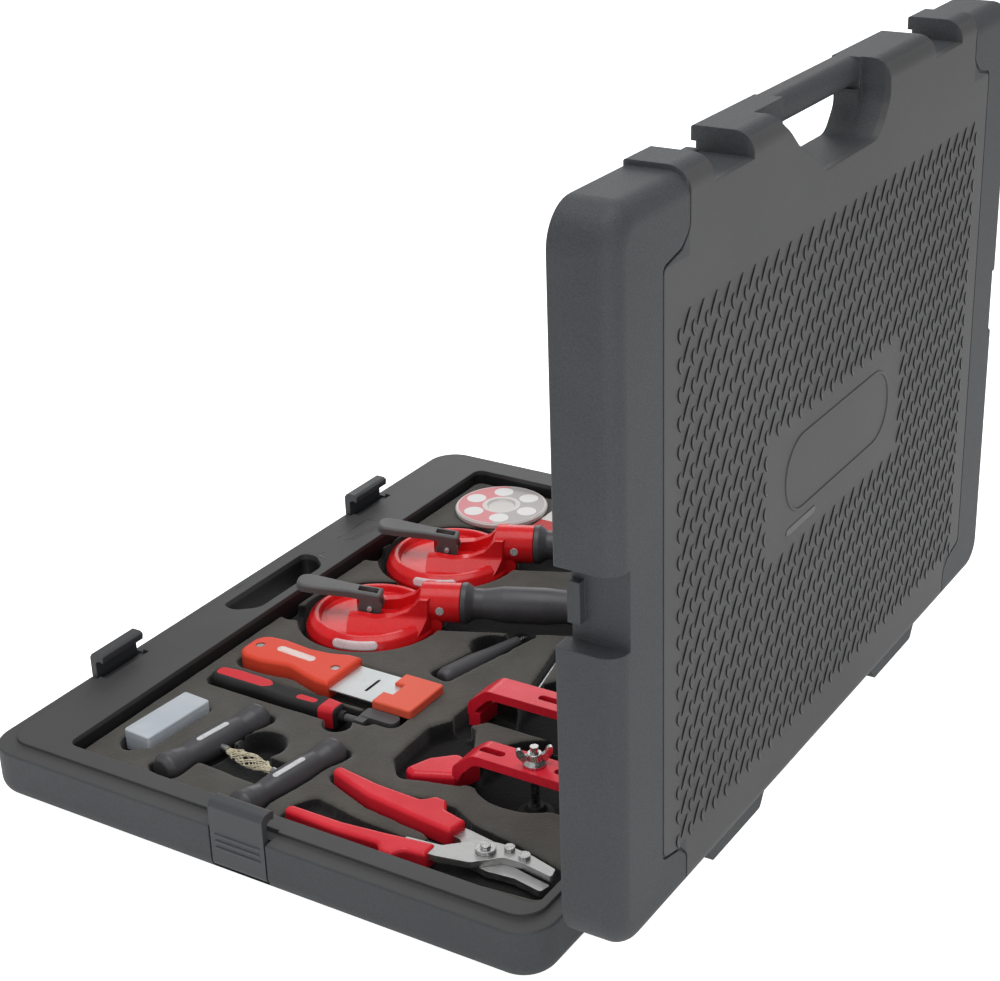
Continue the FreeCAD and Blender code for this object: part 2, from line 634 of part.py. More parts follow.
# (radius, z, corner radius)
CUP_PROFILE = [
    (3.9, 13.0), (34, 12.0), (50, 8.6, 3), (CUP_RADIUS, 7.0, 0.6), (CUP_RADIUS, 8.4, 0.6),
    (52, 14.0, 3), (44, 16.9, 2), (3.9, 16.9)]
DOME_PROFILE = [
    (PLUNGER_WAY, 17.0), (52.4, 17.0), (DOME_RADIUS, 18.6, 1), (DOME_RADIUS, 24.0, 2),
    (50.6, 30.4, 4), (46.2, 33.4, 2), (42.8, 33.4, 1.2), (40.8, 28.2, 1.5),
    (PLUNGER_WAY, 28.2)]
GRIP_PROFILE = [
    (0, -11.5), (9.8, -11.5), (9.8, 0.3), (16.4, 0.3, 1), (16.6, 4.5, 2), (12.2, 11, 6),
    (12.0, 18, 8), (14.6, 34, 14), (14.8, 66, 14), (13.2, 84, 10), (15.6, 100, 5),
    (14.0, 106, 3), (0, 106)]
# (x, z, corner radius)
HULL_SIDE = [
    (-15, 22), (51, 22), (51, 53), (43, 53, 3), (34, 43, 10), (21, 37.8, 14), (6, 36.2, 14),
    (-7, 38.4, 6), (-15, 38.2, 1.2)]
TROUGH = [(-60, 28.2), (19, 28.2, 4), (31, 34, 6), (38.5, 44, 4), (42, 62), (-60, 62)]
NECK = [(38, 19), (57, 19, 5), (60, 30, 4), (52, 40), (38, 40)]
# (y, z, corner radius)
HULL_FLARE = [
    (-34, 18), (34, 18), (34, 23), (19, 38, 4), (17, 62), (-17, 62), (-19, 38, 4), (-34, 23)]
# (x, y, corner radius)
LEVER_PLATE = [
    (-61.5, -10.5, 9), (-44, -10.5, 20), (-20, -7.4, 20), (8.0, -7.4, 2),
    (8.0, 7.4, 2), (-20, 7.4, 20), (-44, 10.5, 20), (-61.5, 10.5, 9)]


def collar_cyl(name, radius, height, y):
    """A cylinder on the collar screw's axis, from y towards -y."""
    return cyl(name, radius, height, (COLLAR_SCREW_X, y, COLLAR_Z), (0, -1, 0))


def lifter_body(key):
    dome = turned("dome_" + key, DOME_PROFILE)
    # two flared walls rise from the dome to the collar, with the lever's channel between
    side = pad("hull_side_" + key, [HULL_SIDE], 80, -40, "XZ_Plane")
    flare = pad("hull_flare_" + key, [HULL_FLARE], 80, -20, "YZ_Plane")
    hull = common("hull_" + key, common("hull_flared_" + key, side, flare),
                  cyl("hull_round_" + key, "{dome_radius} - 1", 60, (0, 0, 8)))
    trough = pad("trough_" + key, [TROUGH], 24.4, -12.2, "XZ_Plane")
    collar = cyl("collar_" + key, "{collar_radius}", "{collar_long}",
                 (COLLAR_X, 0, COLLAR_Z), (1, 0, 0))
    neck = pad("neck_" + key, [NECK], 27, -13.5, "XZ_Plane")
    casting = fuse("casting_" + key,
                   [dome, cut("wing_pair_" + key, hull, trough), collar, neck])
    tools = [
        cyl("collar_seat_" + key, 10.0, 18, (60, 0, COLLAR_Z), (1, 0, 0)),
        collar_cyl("collar_tap_" + key, 2.0, 8, -9),
        collar_cyl("collar_cbore_" + key, 3.4, 6, -14.2),
        cyl("plunger_way_" + key, PLUNGER_WAY, 40, (0, 0, 5)),
    ]
    for k, x in enumerate(STUD_XS):
        tools.append(cyl("stud_way_%s_%d" % (key, k), 2.0, 6, (x, -9.9, 24)))
    return cut("lifter_%s_body" % key, casting, fuse("collar_tools_" + key, tools))


def lifter_plunger(key):
    plunger = fuse("plunger_body_" + key, [
        cyl("plunger_rod_" + key, "{plunger_radius}", 36.2, (0, 0, 11.0)),
        cyl("plunger_foot_" + key, 16, 1.9, (0, 0, 10.2))])
    eye = cyl("plunger_eye_" + key, "{lever_pin}", 30, (0, -15, PIVOT_Z), (0, 1, 0))
    return cut("lifter_%s_plunger" % key, plunger, eye)


def lifter_pins(key):
    pins = [cyl("lever_pin_" + key, "{lever_pin}", 19.0, (0, -9.5, PIVOT_Z), (0, 1, 0))]
    for k, x in enumerate(STUD_XS):
        pins.append(cyl("stud_%s_%d" % (key, k), 2.0, 9.5, (x, -9.9, 24)))
    pins.append(collar_cyl("collar_screw_shank_" + key, 2.0, 4.6, -10.1))
    pins.append(collar_cyl("collar_screw_head_" + key, 3.3, 2.2, -14.2))
    return fuse("lifter_%s_pins" % key, pins)


def lifter_lever(key):
    """Fork round the plunger and a long thumb plate, built level."""
    plate = pad("plate_" + key, [LEVER_PLATE], 6.2, PIVOT_Z + 6.6)
    parts = [rounded("plate_round_" + key, plate, at_z(PIVOT_Z + 12.8), 2.2)]
    for k, y in enumerate((-7.4, 4.3)):
        parts.append(cyl("cheek_%s_%d" % (key, k), 9.4, 3.1, (0, y, PIVOT_Z), (0, 1, 0)))
        parts.append(box("cheek_web_%s_%d" % (key, k), 16, 3.1, 7.2, (-9.0, y, PIVOT_Z)))
    tools = fuse("lever_tools_" + key, [
        cyl("lever_eye_" + key, "{lever_pin} + {running_gap}", 30,
            (0, -15, PIVOT_Z), (0, 1, 0)),
        box("lever_gap_" + key, 34, 8.6, 17.5, (-14, -4.3, PIVOT_Z - 11)),
        box("lever_window_" + key, 16, 7.8, 16, (-11.5, -3.9, PIVOT_Z)),
        cyl("lever_swing_" + key, 10.2, 8.6, (0, -4.3, PIVOT_Z), (0, 1, 0))])
    return cut("lifter_%s_lever" % key, fuse("fork_" + key, parts), tools)


def build_lifter(key, frame):
    pieces = (("cup", turned("cup_" + key, CUP_PROFILE)), ("body", lifter_body(key)),
              ("plunger", lifter_plunger(key)), ("pins", lifter_pins(key)))
    for part, obj in pieces:
        obj.Placement = frame
        node(obj, "lifter_%s_%s" % (key, part))
    lever = lifter_lever(key)
    # the free end tilts up about the pivot
    tilt = Placement(Vector(0, 0, 0), Rotation(Vector(0, 1, 0), DIMS["lever_tilt"]),
                     Vector(0, 0, PIVOT_Z))
    lever.Placement = frame.multiply(tilt)
    node(lever, "lifter_%s_lever" % key)
    grip = turned("grip_" + key, GRIP_PROFILE)
    collar_end = frame.multVec(Vector(COLLAR_X + DIMS["collar_long"], 0, COLLAR_Z))
    grip.Placement = laid(collar_end, LIFTER_TURN)
    node(grip, "lifter_%s_grip" % key)


for key, frame in LIFTER_FRAMES.items():
    build_lifter(key, frame)

# --------------------------------------------------------------------------
# Blade scraper: moulded handle, wide blade, two screws, push-on guard
# --------------------------------------------------------------------------
SCRAPER_Z = 24.2
GUARD_Z = 29.1
SCREW_HEAD_Z = 35.4
SCRAPER_SCREWS = [(86, -148), (87, -75.5)]
SCRAPER_HANDLE = [  # (x, y, corner radius)
    (71, -158.5, 13), (104, -158.5, 12), (105, -134, 25), (100.5, -110, 22), (106, -92, 20),
    (109.5, -78, 5), (109.5, -66.5, 1.5), (64, -66.5, 1.5), (64, -78, 5), (69, -92, 20),
    (71, -110, 25), (68.5, -134, 20)]
GUARD = [
    (65, -25.5, 1), (80, -25.5), (80, -17.0), (95, -17.0), (95, -25.5), (110.5, -25.5, 1),
    (110.5, 9.0, 3), (65, 9.0, 3)]


def build_scraper():
    handle = pad("scraper_block", [SCRAPER_HANDLE], "{scraper_thick}", SCRAPER_Z)
    handle = rounded("scraper_round", handle, at_z(SCRAPER_Z + DIMS["scraper_thick"]), 3.2)
    tools = [box("scraper_blade_slot", 40.2, 24, "{blade_thick} + 0.1", (67.4, -86, 31.1))]
    for k, (x, y) in enumerate(SCRAPER_SCREWS):
        tools.append(cyl("scraper_hole_%d" % k, 3.6, 20, (x, y, SCREW_HEAD_Z)))
    for k, (x, y) in enumerate(reversed(SCRAPER_SCREWS), start=2):
        tools.append(cyl("scraper_hole_%d" % k, 1.9, 40, (x, y, 10)))
    node(cut("scraper_handle", handle, fuse("scraper_holes", tools)), "scraper_handle")

    window = rect(78, -42, 97, -39.6, 1.2)
    blade_hole = SCRAPER_SCREWS[1] + (2.0,)
    blade = pad("scraper_blade_body",
                [rect(67.5, -85.5, 107.5, -3.0), window, blade_hole], "{blade_thick}", 31.15)
    node(blade, "scraper_blade")

    screws = []
    for k, (x, y) in enumerate(SCRAPER_SCREWS):
        screws.append(cyl("scraper_screw_%d" % k, 3.4, 2.2, (x, y, SCREW_HEAD_Z)))
        screws.append(cyl("scraper_shank_%d" % k, 1.9, 11, (x, y, 24.5)))
    node(fuse("scraper_screws", screws), "scraper_screws")

    guard = pad("guard_block", [GUARD], "{guard_thick}", GUARD_Z)
    guard = rounded("guard_round", guard, at_z(GUARD_Z + DIMS["guard_thick"]), 1.4)
    way = box("guard_way", 40.3, 40, "{blade_thick} + 0.3", (67.35, -38, 31.0))
    node(cut("scraper_guard", guard, way), "scraper_guard")


# The blade hole is a circle loop, so its first item must be a number
build_scraper()

# --------------------------------------------------------------------------
# Trim knife: two-colour handle, steel shank and a blade block
# --------------------------------------------------------------------------
KNIFE_X, KNIFE_AXIS_Z = 126.5, 26
KNIFE_BOTTOM, KNIFE_THICK = 18.0, 16
KNIFE_HANDLE = [  # (x, y, corner radius)
    (119.5, -160.5, 7), (135.5, -160.5, 7), (137.4, -140, 30), (136, -112, 30),
    (137.8, -88, 30), (136.8, -60, 20), (133.5, -42, 4), (119.5, -42, 4),
    (117.2, -60, 20), (119.5, -88, 30), (117.2, -112, 30), (116.5, -140, 30)]
# outline, height, z
INLAY_ZONES = [
    ([(119, -157, 4), (131, -157, 4), (131, -112, 5), (125, -104, 4), (120, -112, 5)],
     12, 28.6),
    ([(126, -80, 3), (132.5, -80, 3), (131.5, -62, 3), (126, -62, 3)], 12, 28.6),
    (rect(110, -56.5, 145, -44.5), 30, 16.0)]


def knife_rod(name, radius, length, y):
    return cyl(name, radius, length, (KNIFE_X, y, KNIFE_AXIS_Z), (0, 1, 0))


def build_knife():
    block = pad("knife_block", [KNIFE_HANDLE], KNIFE_THICK, KNIFE_BOTTOM)
    block = rounded("knife_round", block, at_z(KNIFE_BOTTOM + KNIFE_THICK), 4.2)
    zones = fuse("inlay_tool", [pad("inlay_zone_%d" % k, [points], height, z)
                                for k, (points, height, z) in enumerate(INLAY_ZONES)])
    # a core joins the handle through the inlaid band that circles it
    handle = fuse("knife_with_core", [cut("knife_black", block, zones),
                                      knife_rod("knife_core", 4.5, 20, -58)])
    node(cut("knife_handle", handle, knife_rod("knife_bore", 3.0, 20, -54)), "knife_handle")
    inlays = common("inlays_raw", block, zones)
    node(cut("knife_inlays", inlays, knife_rod("knife_core_2", 4.5, 22, -58.5)),
         "knife_inlays")
    blade_block = pad("knife_blade_block", [[
        (112, -27, 2), (124, -27, 2), (124, -22), (124, 3, 5), (112, 3, 5)]], 9, 21)
    node(fuse("knife_blade", [knife_rod("knife_shank_rod", 2.95, 34, -53), blade_block,
                              box("knife_bridge", 12, 8, 7, (119, -27, 22.5))]),
         "knife_blade")


build_knife()

# --------------------------------------------------------------------------
# Spare-blade case: tray, lid and six blades, in a frame at the case's centre
# --------------------------------------------------------------------------
CASE_WALL = 1.6


def case_pad(name, inset, radius, height, z):
    """A prism on the case's plan, drawn in by inset."""
    x, y = BLADE_CASE_LONG / 2 - inset, BLADE_CASE_WIDE / 2 - inset
    return pad(name, [rect(-x, -y, x, y, radius)], height, z)


def build_blade_case():
    tray = cut("blade_tray", case_pad("blade_tray_block", 0, 2.5, 11.4, 20),
               case_pad("blade_tray_in", CASE_WALL, 1.5, 20, 21.4))
    node(in_frame(BLADE_CASE_FRAME, tray), "blade_tray")
    lid = rounded("blade_lid_round", case_pad("blade_lid_block", 0, 2.5, 4.8, 31.5),
                  at_z(36.3), 1.2)
    lid = cut("blade_lid", lid, case_pad("blade_lid_in", CASE_WALL, 1.5, 3.4, 31.0))
    node(in_frame(BLADE_CASE_FRAME, lid), "blade_lid")
    blades = [box("spare_%d" % k, 40, 19, 0.8, (-20, -9.5, 21.6 + 1.15 * k))
              for k in range(6)]
    node(in_frame(BLADE_CASE_FRAME, fuse("spare_blades", blades)), "spare_blades")


build_blade_case()

# --------------------------------------------------------------------------
# Wire pulls: two waisted cross handles, steel ferrules and a stranded wire
# --------------------------------------------------------------------------
PULL_Z = 28
PULL_END = DIMS["pull_length"] / 2
PULL_PROFILE = [  # (radius, position along the handle, corner radius)
    (0, -PULL_END), (8.5, -PULL_END, 3), (11.8, -44, 4), (11.2, -36, 8), (9.0, -26, 8),
    (10.4, -12, 12), (10.6, 12, 12), (9.0, 26, 8), (11.2, 36, 8), (11.8, 44, 4),
    (8.5, PULL_END, 3), (0, PULL_END)]


def pull_point(key, distance):
    """A point out from a handle's centre towards the other handle, and that direction."""
    side = 1 if key == "near" else -1
    towards = Rotation(Vector(0, 0, 1), PULL_TURN - 180).multVec(Vector(0, side, 0))
    return Vector(*PULLS[key], PULL_Z) + towards * distance, towards


def wire_strand(near, far, bow, rise):
    """A round strand through five points, bowed sideways at its middle."""
    middle = (near + far) * 0.5 + Vector(bow, 0, rise)
    start = near + Vector(bow * 0.25, 0, 0)
    end = far + Vector(bow * 0.25, 0, 0)
    shift = Vector(bow * 0.35, 0, 0)
    curve = Part.BSplineCurve()
    curve.interpolate([start, start * 0.7 + middle * 0.3 + shift, middle,
                       end * 0.7 + middle * 0.3 + shift, end])
    tangent = curve.tangent(curve.FirstParameter)[0]
    ring = Part.Wire([Part.makeCircle(DIMS["cord_radius"], start, tangent)])
    return Part.Wire([curve.toShape()]).makePipeShell([ring], True, True)


def build_pulls():
    ferrules = []
    for key in PULLS:
        handle = turned("pull_" + key, PULL_PROFILE)
        centre, towards = pull_point(key, 0.0)
        handle.Placement = laid(centre, PULL_TURN)
        hole = cyl("pull_hole_" + key, 3.0, 16, centre, towards)
        node(cut("pull_handle_" + key, handle, hole), "pull_handle_" + key)
        start, towards = pull_point(key, 1.0)
        ferrules.append(cyl("ferrule_" + key, 2.95, 15.5, start, towards))
    node(fuse("pull_ferrules", ferrules), "pull_ferrules")
    # four strands fan out between the ferrules, every other one a little higher
    near, far = pull_point("near", 18.4)[0], pull_point("far", 18.4)[0]
    strands = [wire_strand(near, far, bow, 0.6 * (k % 2))
               for k, bow in enumerate((-6.5, -2.2, 2.2, 6.5))]
    wire = doc.addObject("Part::Feature", "pull_wire")
    wire.Shape = strands[0].multiFuse(strands[1:])
    node(wire, "pull_wire")


build_pulls()

# --------------------------------------------------------------------------
# Pliers: two crossed steel arms, sleeved handles, pivot and small bolts. The
# outer arm lies on top of the inner one. Outlines: (x, y, corner radius)
# --------------------------------------------------------------------------
PLIERS_X, PLIERS_Y = 230.0, 150.0
ARM_THICK = DIMS["arm_thick"]
INNER_ARM_Z = 24.6
OUTER_ARM_Z = INNER_ARM_Z + ARM_THICK + 0.15
PIVOT_HEAD_Z = INNER_ARM_Z + 2 * ARM_THICK + 0.3
BOLTS = [(224.5, 176, 4.0), (221.5, 163, 3.6)]  # (x, y, head radius)
ARM_INNER = [
    (207.5, 96, 1), (217, 96, 1), (221, 124, 6), (240, 142, 5), (243, 158, 5), (241, 178, 4),
    (245, 200, 2), (236.4, 202, 1.5), (232.6, 180, 3), (229, 166, 3), (214, 152, 6),
    (209, 124, 8)]
ARM_OUTER = [
    (242, 96, 1), (251.5, 96, 1), (251, 124, 8), (246, 148, 6), (231, 164, 4),
    (230.4, 178, 3), (234.4, 202, 1.5), (226, 200, 2), (220, 178, 6), (218, 160, 6),
    (220, 142, 6), (239, 122, 6)]
GRIP_INNER = [
    (193.5, 6, 4.5), (202.5, 6, 4.5), (215, 44, 20), (221.5, 92, 10), (224, 118, 3),
    (208, 121, 3), (203.5, 102, 3), (193.8, 96, 2.5), (193.0, 87, 2.5), (201, 80, 6),
    (199.5, 44, 20)]
GRIP_OUTER = [
    (249.5, 6, 4.5), (258.5, 6, 4.5), (260.5, 50, 30), (258.6, 84, 6), (265.6, 90, 2.5),
    (265.0, 99, 2.5), (256.5, 104, 4), (255, 119, 3), (240.5, 119, 3), (245.5, 84, 20),
    (249.5, 50, 30)]


def pliers_grip(key, label, points, z, arm, arm_z, slot_x):
    """A moulded sleeve, slotted where the arm's end enters it."""
    grip = pad("grip_%s_block" % key, [points], "{grip_thick}", z)
    grip = rounded("grip_%s_round" % key, grip, at_z(z + DIMS["grip_thick"]), 3.0)
    zone = box("grip_%s_slot" % key, 30, 30, "{arm_thick}", (slot_x, 94, arm_z))
    node(cut(label, grip, common("grip_%s_fill" % key, arm, zone)), label)


def build_pliers():
    inner = pad("arm_a_block", [ARM_INNER], "{arm_thick}", INNER_ARM_Z)
    outer = pad("arm_b_block", [ARM_OUTER], "{arm_thick}", OUTER_ARM_Z)
    inner_eye = cyl("arm_a_eye", 4.0, 30, (PLIERS_X, PLIERS_Y, 10))
    node(cut("pliers_arm_inner", inner, inner_eye), "pliers_arm_inner")
    holes = [cyl("arm_b_eye", "4 + {running_gap}", 30, (PLIERS_X, PLIERS_Y, 10))]
    bolts = []
    for k, (x, y, head) in enumerate(BOLTS):
        holes.append(cyl("arm_b_tap_%d" % k, 2.0, 30, (x, y, 10)))
        bolts.append(cyl("bolt_shank_%d" % k, 2.0, 5.4, (x, y, OUTER_ARM_Z)))
        bolts.append(cyl("bolt_head_%d" % k, head, 2.4, (x, y, OUTER_ARM_Z + ARM_THICK)))
    node(cut("pliers_arm_outer", outer, fuse("arm_b_holes", holes)), "pliers_arm_outer")
    node(fuse("pliers_pivot", [
        cyl("pivot_shank", 4.0, 10.6, (PLIERS_X, PLIERS_Y, INNER_ARM_Z)),
        cyl("pivot_head", 7.0, 2.6, (PLIERS_X, PLIERS_Y, PIVOT_HEAD_Z)),
        cyl("pivot_nut", 3.4, 4.4, (PLIERS_X, PLIERS_Y, PIVOT_HEAD_Z))]), "pliers_pivot")
    node(fuse("pliers_bolts", bolts), "pliers_bolts")
    pliers_grip("a", "pliers_grip_inner", GRIP_INNER, 23.0, inner, INNER_ARM_Z, 202)
    pliers_grip("b", "pliers_grip_outer", GRIP_OUTER, 23.4, outer, OUTER_ARM_Z, 233)


build_pliers()

# --------------------------------------------------------------------------
# Strap clamps: an arched strap with a leaf end, a stud with wing nut and pad
# --------------------------------------------------------------------------
STRAP_WIDE = DIMS["strap_wide"]
STUD_RADIUS = DIMS["stud_radius"]
PAD_RADIUS = DIMS["pad_radius"]
ARCH_UNDER = 44  # z of the arch's underside
ARCH_TOP = ARCH_UNDER + DIMS["strap_thick"]
LEAF_END_B = [  # (x, y, corner radius)
    (168, 42, 5), (172, 52, 6), (160, 80, 8), (136.5, 88, 3), (136.5, 76, 4), (133, 66, 8),
    (148, 50, 12)]
# (radius or x, z, corner radius)
WING_HUB = [
    (STUD_RADIUS, 51.3), (8.0, 51.3), (8.0, 53.0, 0.5), (5.6, 55.5, 1), (5.0, 60.5, 0.5),
    (STUD_RADIUS, 60.5)]
WING = [
    (3.4, 52.6, 0), (8.0, 53.5, 3), (12.5, 59.5, 3), (13.0, 64.5, 2), (9.4, 64.5, 2),
    (7.0, 60.0, 3), (3.4, 58.5, 0)]
FOOT_PAD = [
    (0, 8.6), (11.5, 8.6, 2), (PAD_RADIUS, 11.0, 1), (PAD_RADIUS, 13.0, 1), (8.0, 15.5, 2),
    (6.0, 19.0, 1), (STUD_RADIUS, 19.0), (STUD_RADIUS, 14.95), (0, 14.95)]


def clamp_strap(key, x, y, near, far):
    left, right = x - STRAP_WIDE / 2, x + STRAP_WIDE / 2
    arch = pad("arch_" + key, [[
        (near, 27), (near + 4, 34, 6), (near + 14, ARCH_UNDER, 10),
        (far - 22, ARCH_UNDER, 12), (far - 8, 34, 8), (far - 6, 17), (far, 17),
        (far - 1, 37, 8), (far - 16, ARCH_TOP, 14), (near + 12, ARCH_TOP, 12),
        (near - 4, 38, 8), (near - 5, 27)]], "{strap_wide}", left, "YZ_Plane")
    if key == "b":
        leaf = pad("leaf_end_b", [LEAF_END_B], 13, 18)
        leaf = rounded("leaf_end_round_b", leaf, at_z(31), 4.0)
    else:
        leaf = pad("leaf_end_" + key,
                   [[(left, 38, 4), (right, 38, 4), (right, 50), (left, 50)]], 12, 18)
    strap = fuse("strap_all_" + key, [arch, leaf])
    tools = [cyl("strap_hole_" + key, "{stud_radius} + {running_gap}", 40, (x, y, 30))]
    for k, off in enumerate((-34.0, 26.0)):
        middle = y + off
        tools.append(pad("strap_well_%s_%d" % (key, k),
                         [rect(x - 3.2, middle - 10, x + 3.2, middle + 10, 3)], 30, 36))
    return cut("clamp_%s_strap" % key, strap, fuse("strap_tools_" + key, tools))


def clamp_wing_nut(key, x, y):
    hub = turned("wing_hub_" + key, WING_HUB)
    hub.Placement = placed((x, y, 0))
    parts = [hub]
    for name, side in (("wing_l_", 1), ("wing_r_", -1)):
        wing = pad(name + key, [[(side * px, pz, radius) for px, pz, radius in WING]],
                   3.2, -1.6, "XZ_Plane")
        wing.Placement = placed((x, y, 0), 130.0)
        parts.append(wing)
    return cut("clamp_%s_wing_nut" % key, fuse("wing_body_" + key, parts),
               cyl("wing_bore_" + key, "{stud_radius}", 30, (x, y, 40)))


for key, (x, y, near, far) in CLAMPS.items():
    prefix = "clamp_%s_" % key
    node(clamp_strap(key, x, y, near, far), prefix + "strap")
    node(cyl(prefix + "stud", "{stud_radius}", 50.5, (x, y, 15.0)), prefix + "stud")
    node(clamp_wing_nut(key, x, y), prefix + "wing_nut")
    foot_pad = turned("foot_pad_" + key, FOOT_PAD)
    foot_pad.Placement = placed((x, y, 0))
    node(foot_pad, prefix + "pad")

# --------------------------------------------------------------------------
# Wire starter: (radius, position along the tool, corner radius)
# --------------------------------------------------------------------------
PICKER_END = DIMS["picker_long"] / 2
PICKER_HANDLE = [
    (0, -PICKER_END), (6.5, -PICKER_END, 3), (8.4, -40, 5), (8.0, -14, 10), (6.2, 6, 10),
    (4.4, 34, 10), (4.0, 36), (2.1, 36), (2.1, 26), (0, 26)]
PICKER_TIP = [(0, 26), (2.1, 26), (2.1, 43, 0.6), (0.9, PICKER_END), (0, PICKER_END)]
for label, profile in (("picker_handle", PICKER_HANDLE), ("picker_tip", PICKER_TIP)):
    piece = turned(label + "_body", profile)
    piece.Placement = laid((0, PICKER_Y, 24.5), PICKER_TURN)
    node(piece, label)

# --------------------------------------------------------------------------
# Steel rod, wire reel with its label, small carton
# --------------------------------------------------------------------------
node(cyl("steel_rod", "{rod_radius}", 64, (31.3, 64.6, 21.5), (-0.978, -0.208, 0)),
     "steel_rod")

REEL_RADIUS = DIMS["disc_radius"]
REEL_BOTTOM = 28.7
REEL_TOP = REEL_BOTTOM + DIMS["disc_thick"]
reel = turned("wire_reel", [
    (0, REEL_BOTTOM), (40.0, REEL_BOTTOM, 0.8), (REEL_RADIUS, 30.0), (REEL_RADIUS, 32.9, 0.8),
    (40.0, REEL_TOP), (12.4, REEL_TOP), (11.4, 32.6), (0, 32.6)])
reel.Placement = placed((REEL_X, REEL_Y, 0))
node(reel, "wire_reel")
reel_label = turned("reel_label_ring", rect(12.9, 33.65, 39.4, 34.05))
reel_label.Placement = placed((REEL_X, REEL_Y, 0))
node(reel_label, "reel_label")

carton = box("carton_block", "{carton_long}", "{carton_wide}", "{carton_high}",
             (CARTON_X, CARTON_Y, CARTON_Z))
node(rounded("carton_round", carton, lambda e: e.BoundBox.ZLength > 10, 1.0), "carton_box")

# --------------------------------------------------------------------------
# Checks and export
# --------------------------------------------------------------------------
doc.recompute()
for obj in doc.Objects:
    bad = [state for state in obj.State if state in ("Invalid", "Error")]
    if bad:
        raise RuntimeError("%s is %s" % (obj.Name, bad))
seen = set()
for obj in NODES:
    if obj.Label in seen:
        raise RuntimeError("label used twice: " + obj.Label)
    seen.add(obj.Label)
    if obj.Shape.isNull() or not obj.Shape.isValid() or not obj.Shape.Solids:
        raise RuntimeError("bad shape: " + obj.Label)
os.makedirs("parts", exist_ok=True)
# files of pieces that no longer exist go
for old in os.listdir("parts"):
    if old.endswith(".step") and old[:-5] not in seen:
        os.remove(os.path.join("parts", old))
for obj in NODES:
    obj.Shape.exportStep(os.path.join("parts", obj.Label + ".step"))
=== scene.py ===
import math
import bpy
import bmesh
import numpy as np
from mathutils import Vector, Matrix, noise


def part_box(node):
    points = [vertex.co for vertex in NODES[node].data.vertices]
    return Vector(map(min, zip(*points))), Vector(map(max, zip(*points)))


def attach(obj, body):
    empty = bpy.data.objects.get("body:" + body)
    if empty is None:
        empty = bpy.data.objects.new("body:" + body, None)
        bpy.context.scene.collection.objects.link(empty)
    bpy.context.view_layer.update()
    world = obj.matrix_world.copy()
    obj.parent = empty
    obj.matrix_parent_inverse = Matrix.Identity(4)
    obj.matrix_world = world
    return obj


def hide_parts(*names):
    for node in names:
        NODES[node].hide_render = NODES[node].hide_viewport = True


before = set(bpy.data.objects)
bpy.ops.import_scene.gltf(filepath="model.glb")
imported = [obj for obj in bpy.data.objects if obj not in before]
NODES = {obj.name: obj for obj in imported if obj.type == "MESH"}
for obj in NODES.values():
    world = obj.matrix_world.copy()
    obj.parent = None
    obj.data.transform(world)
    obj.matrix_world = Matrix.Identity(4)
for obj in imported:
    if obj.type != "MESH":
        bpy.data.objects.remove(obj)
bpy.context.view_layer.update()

MM = 0.001


# ------------------------------------------------------------------ helpers
def lin(c):
    out = []
    for v in c:
        v = v / 255.0
        out.append(v / 12.92 if v <= 0.04045 else ((v + 0.055) / 1.055) ** 2.4)
    return (out[0], out[1], out[2], 1.0)


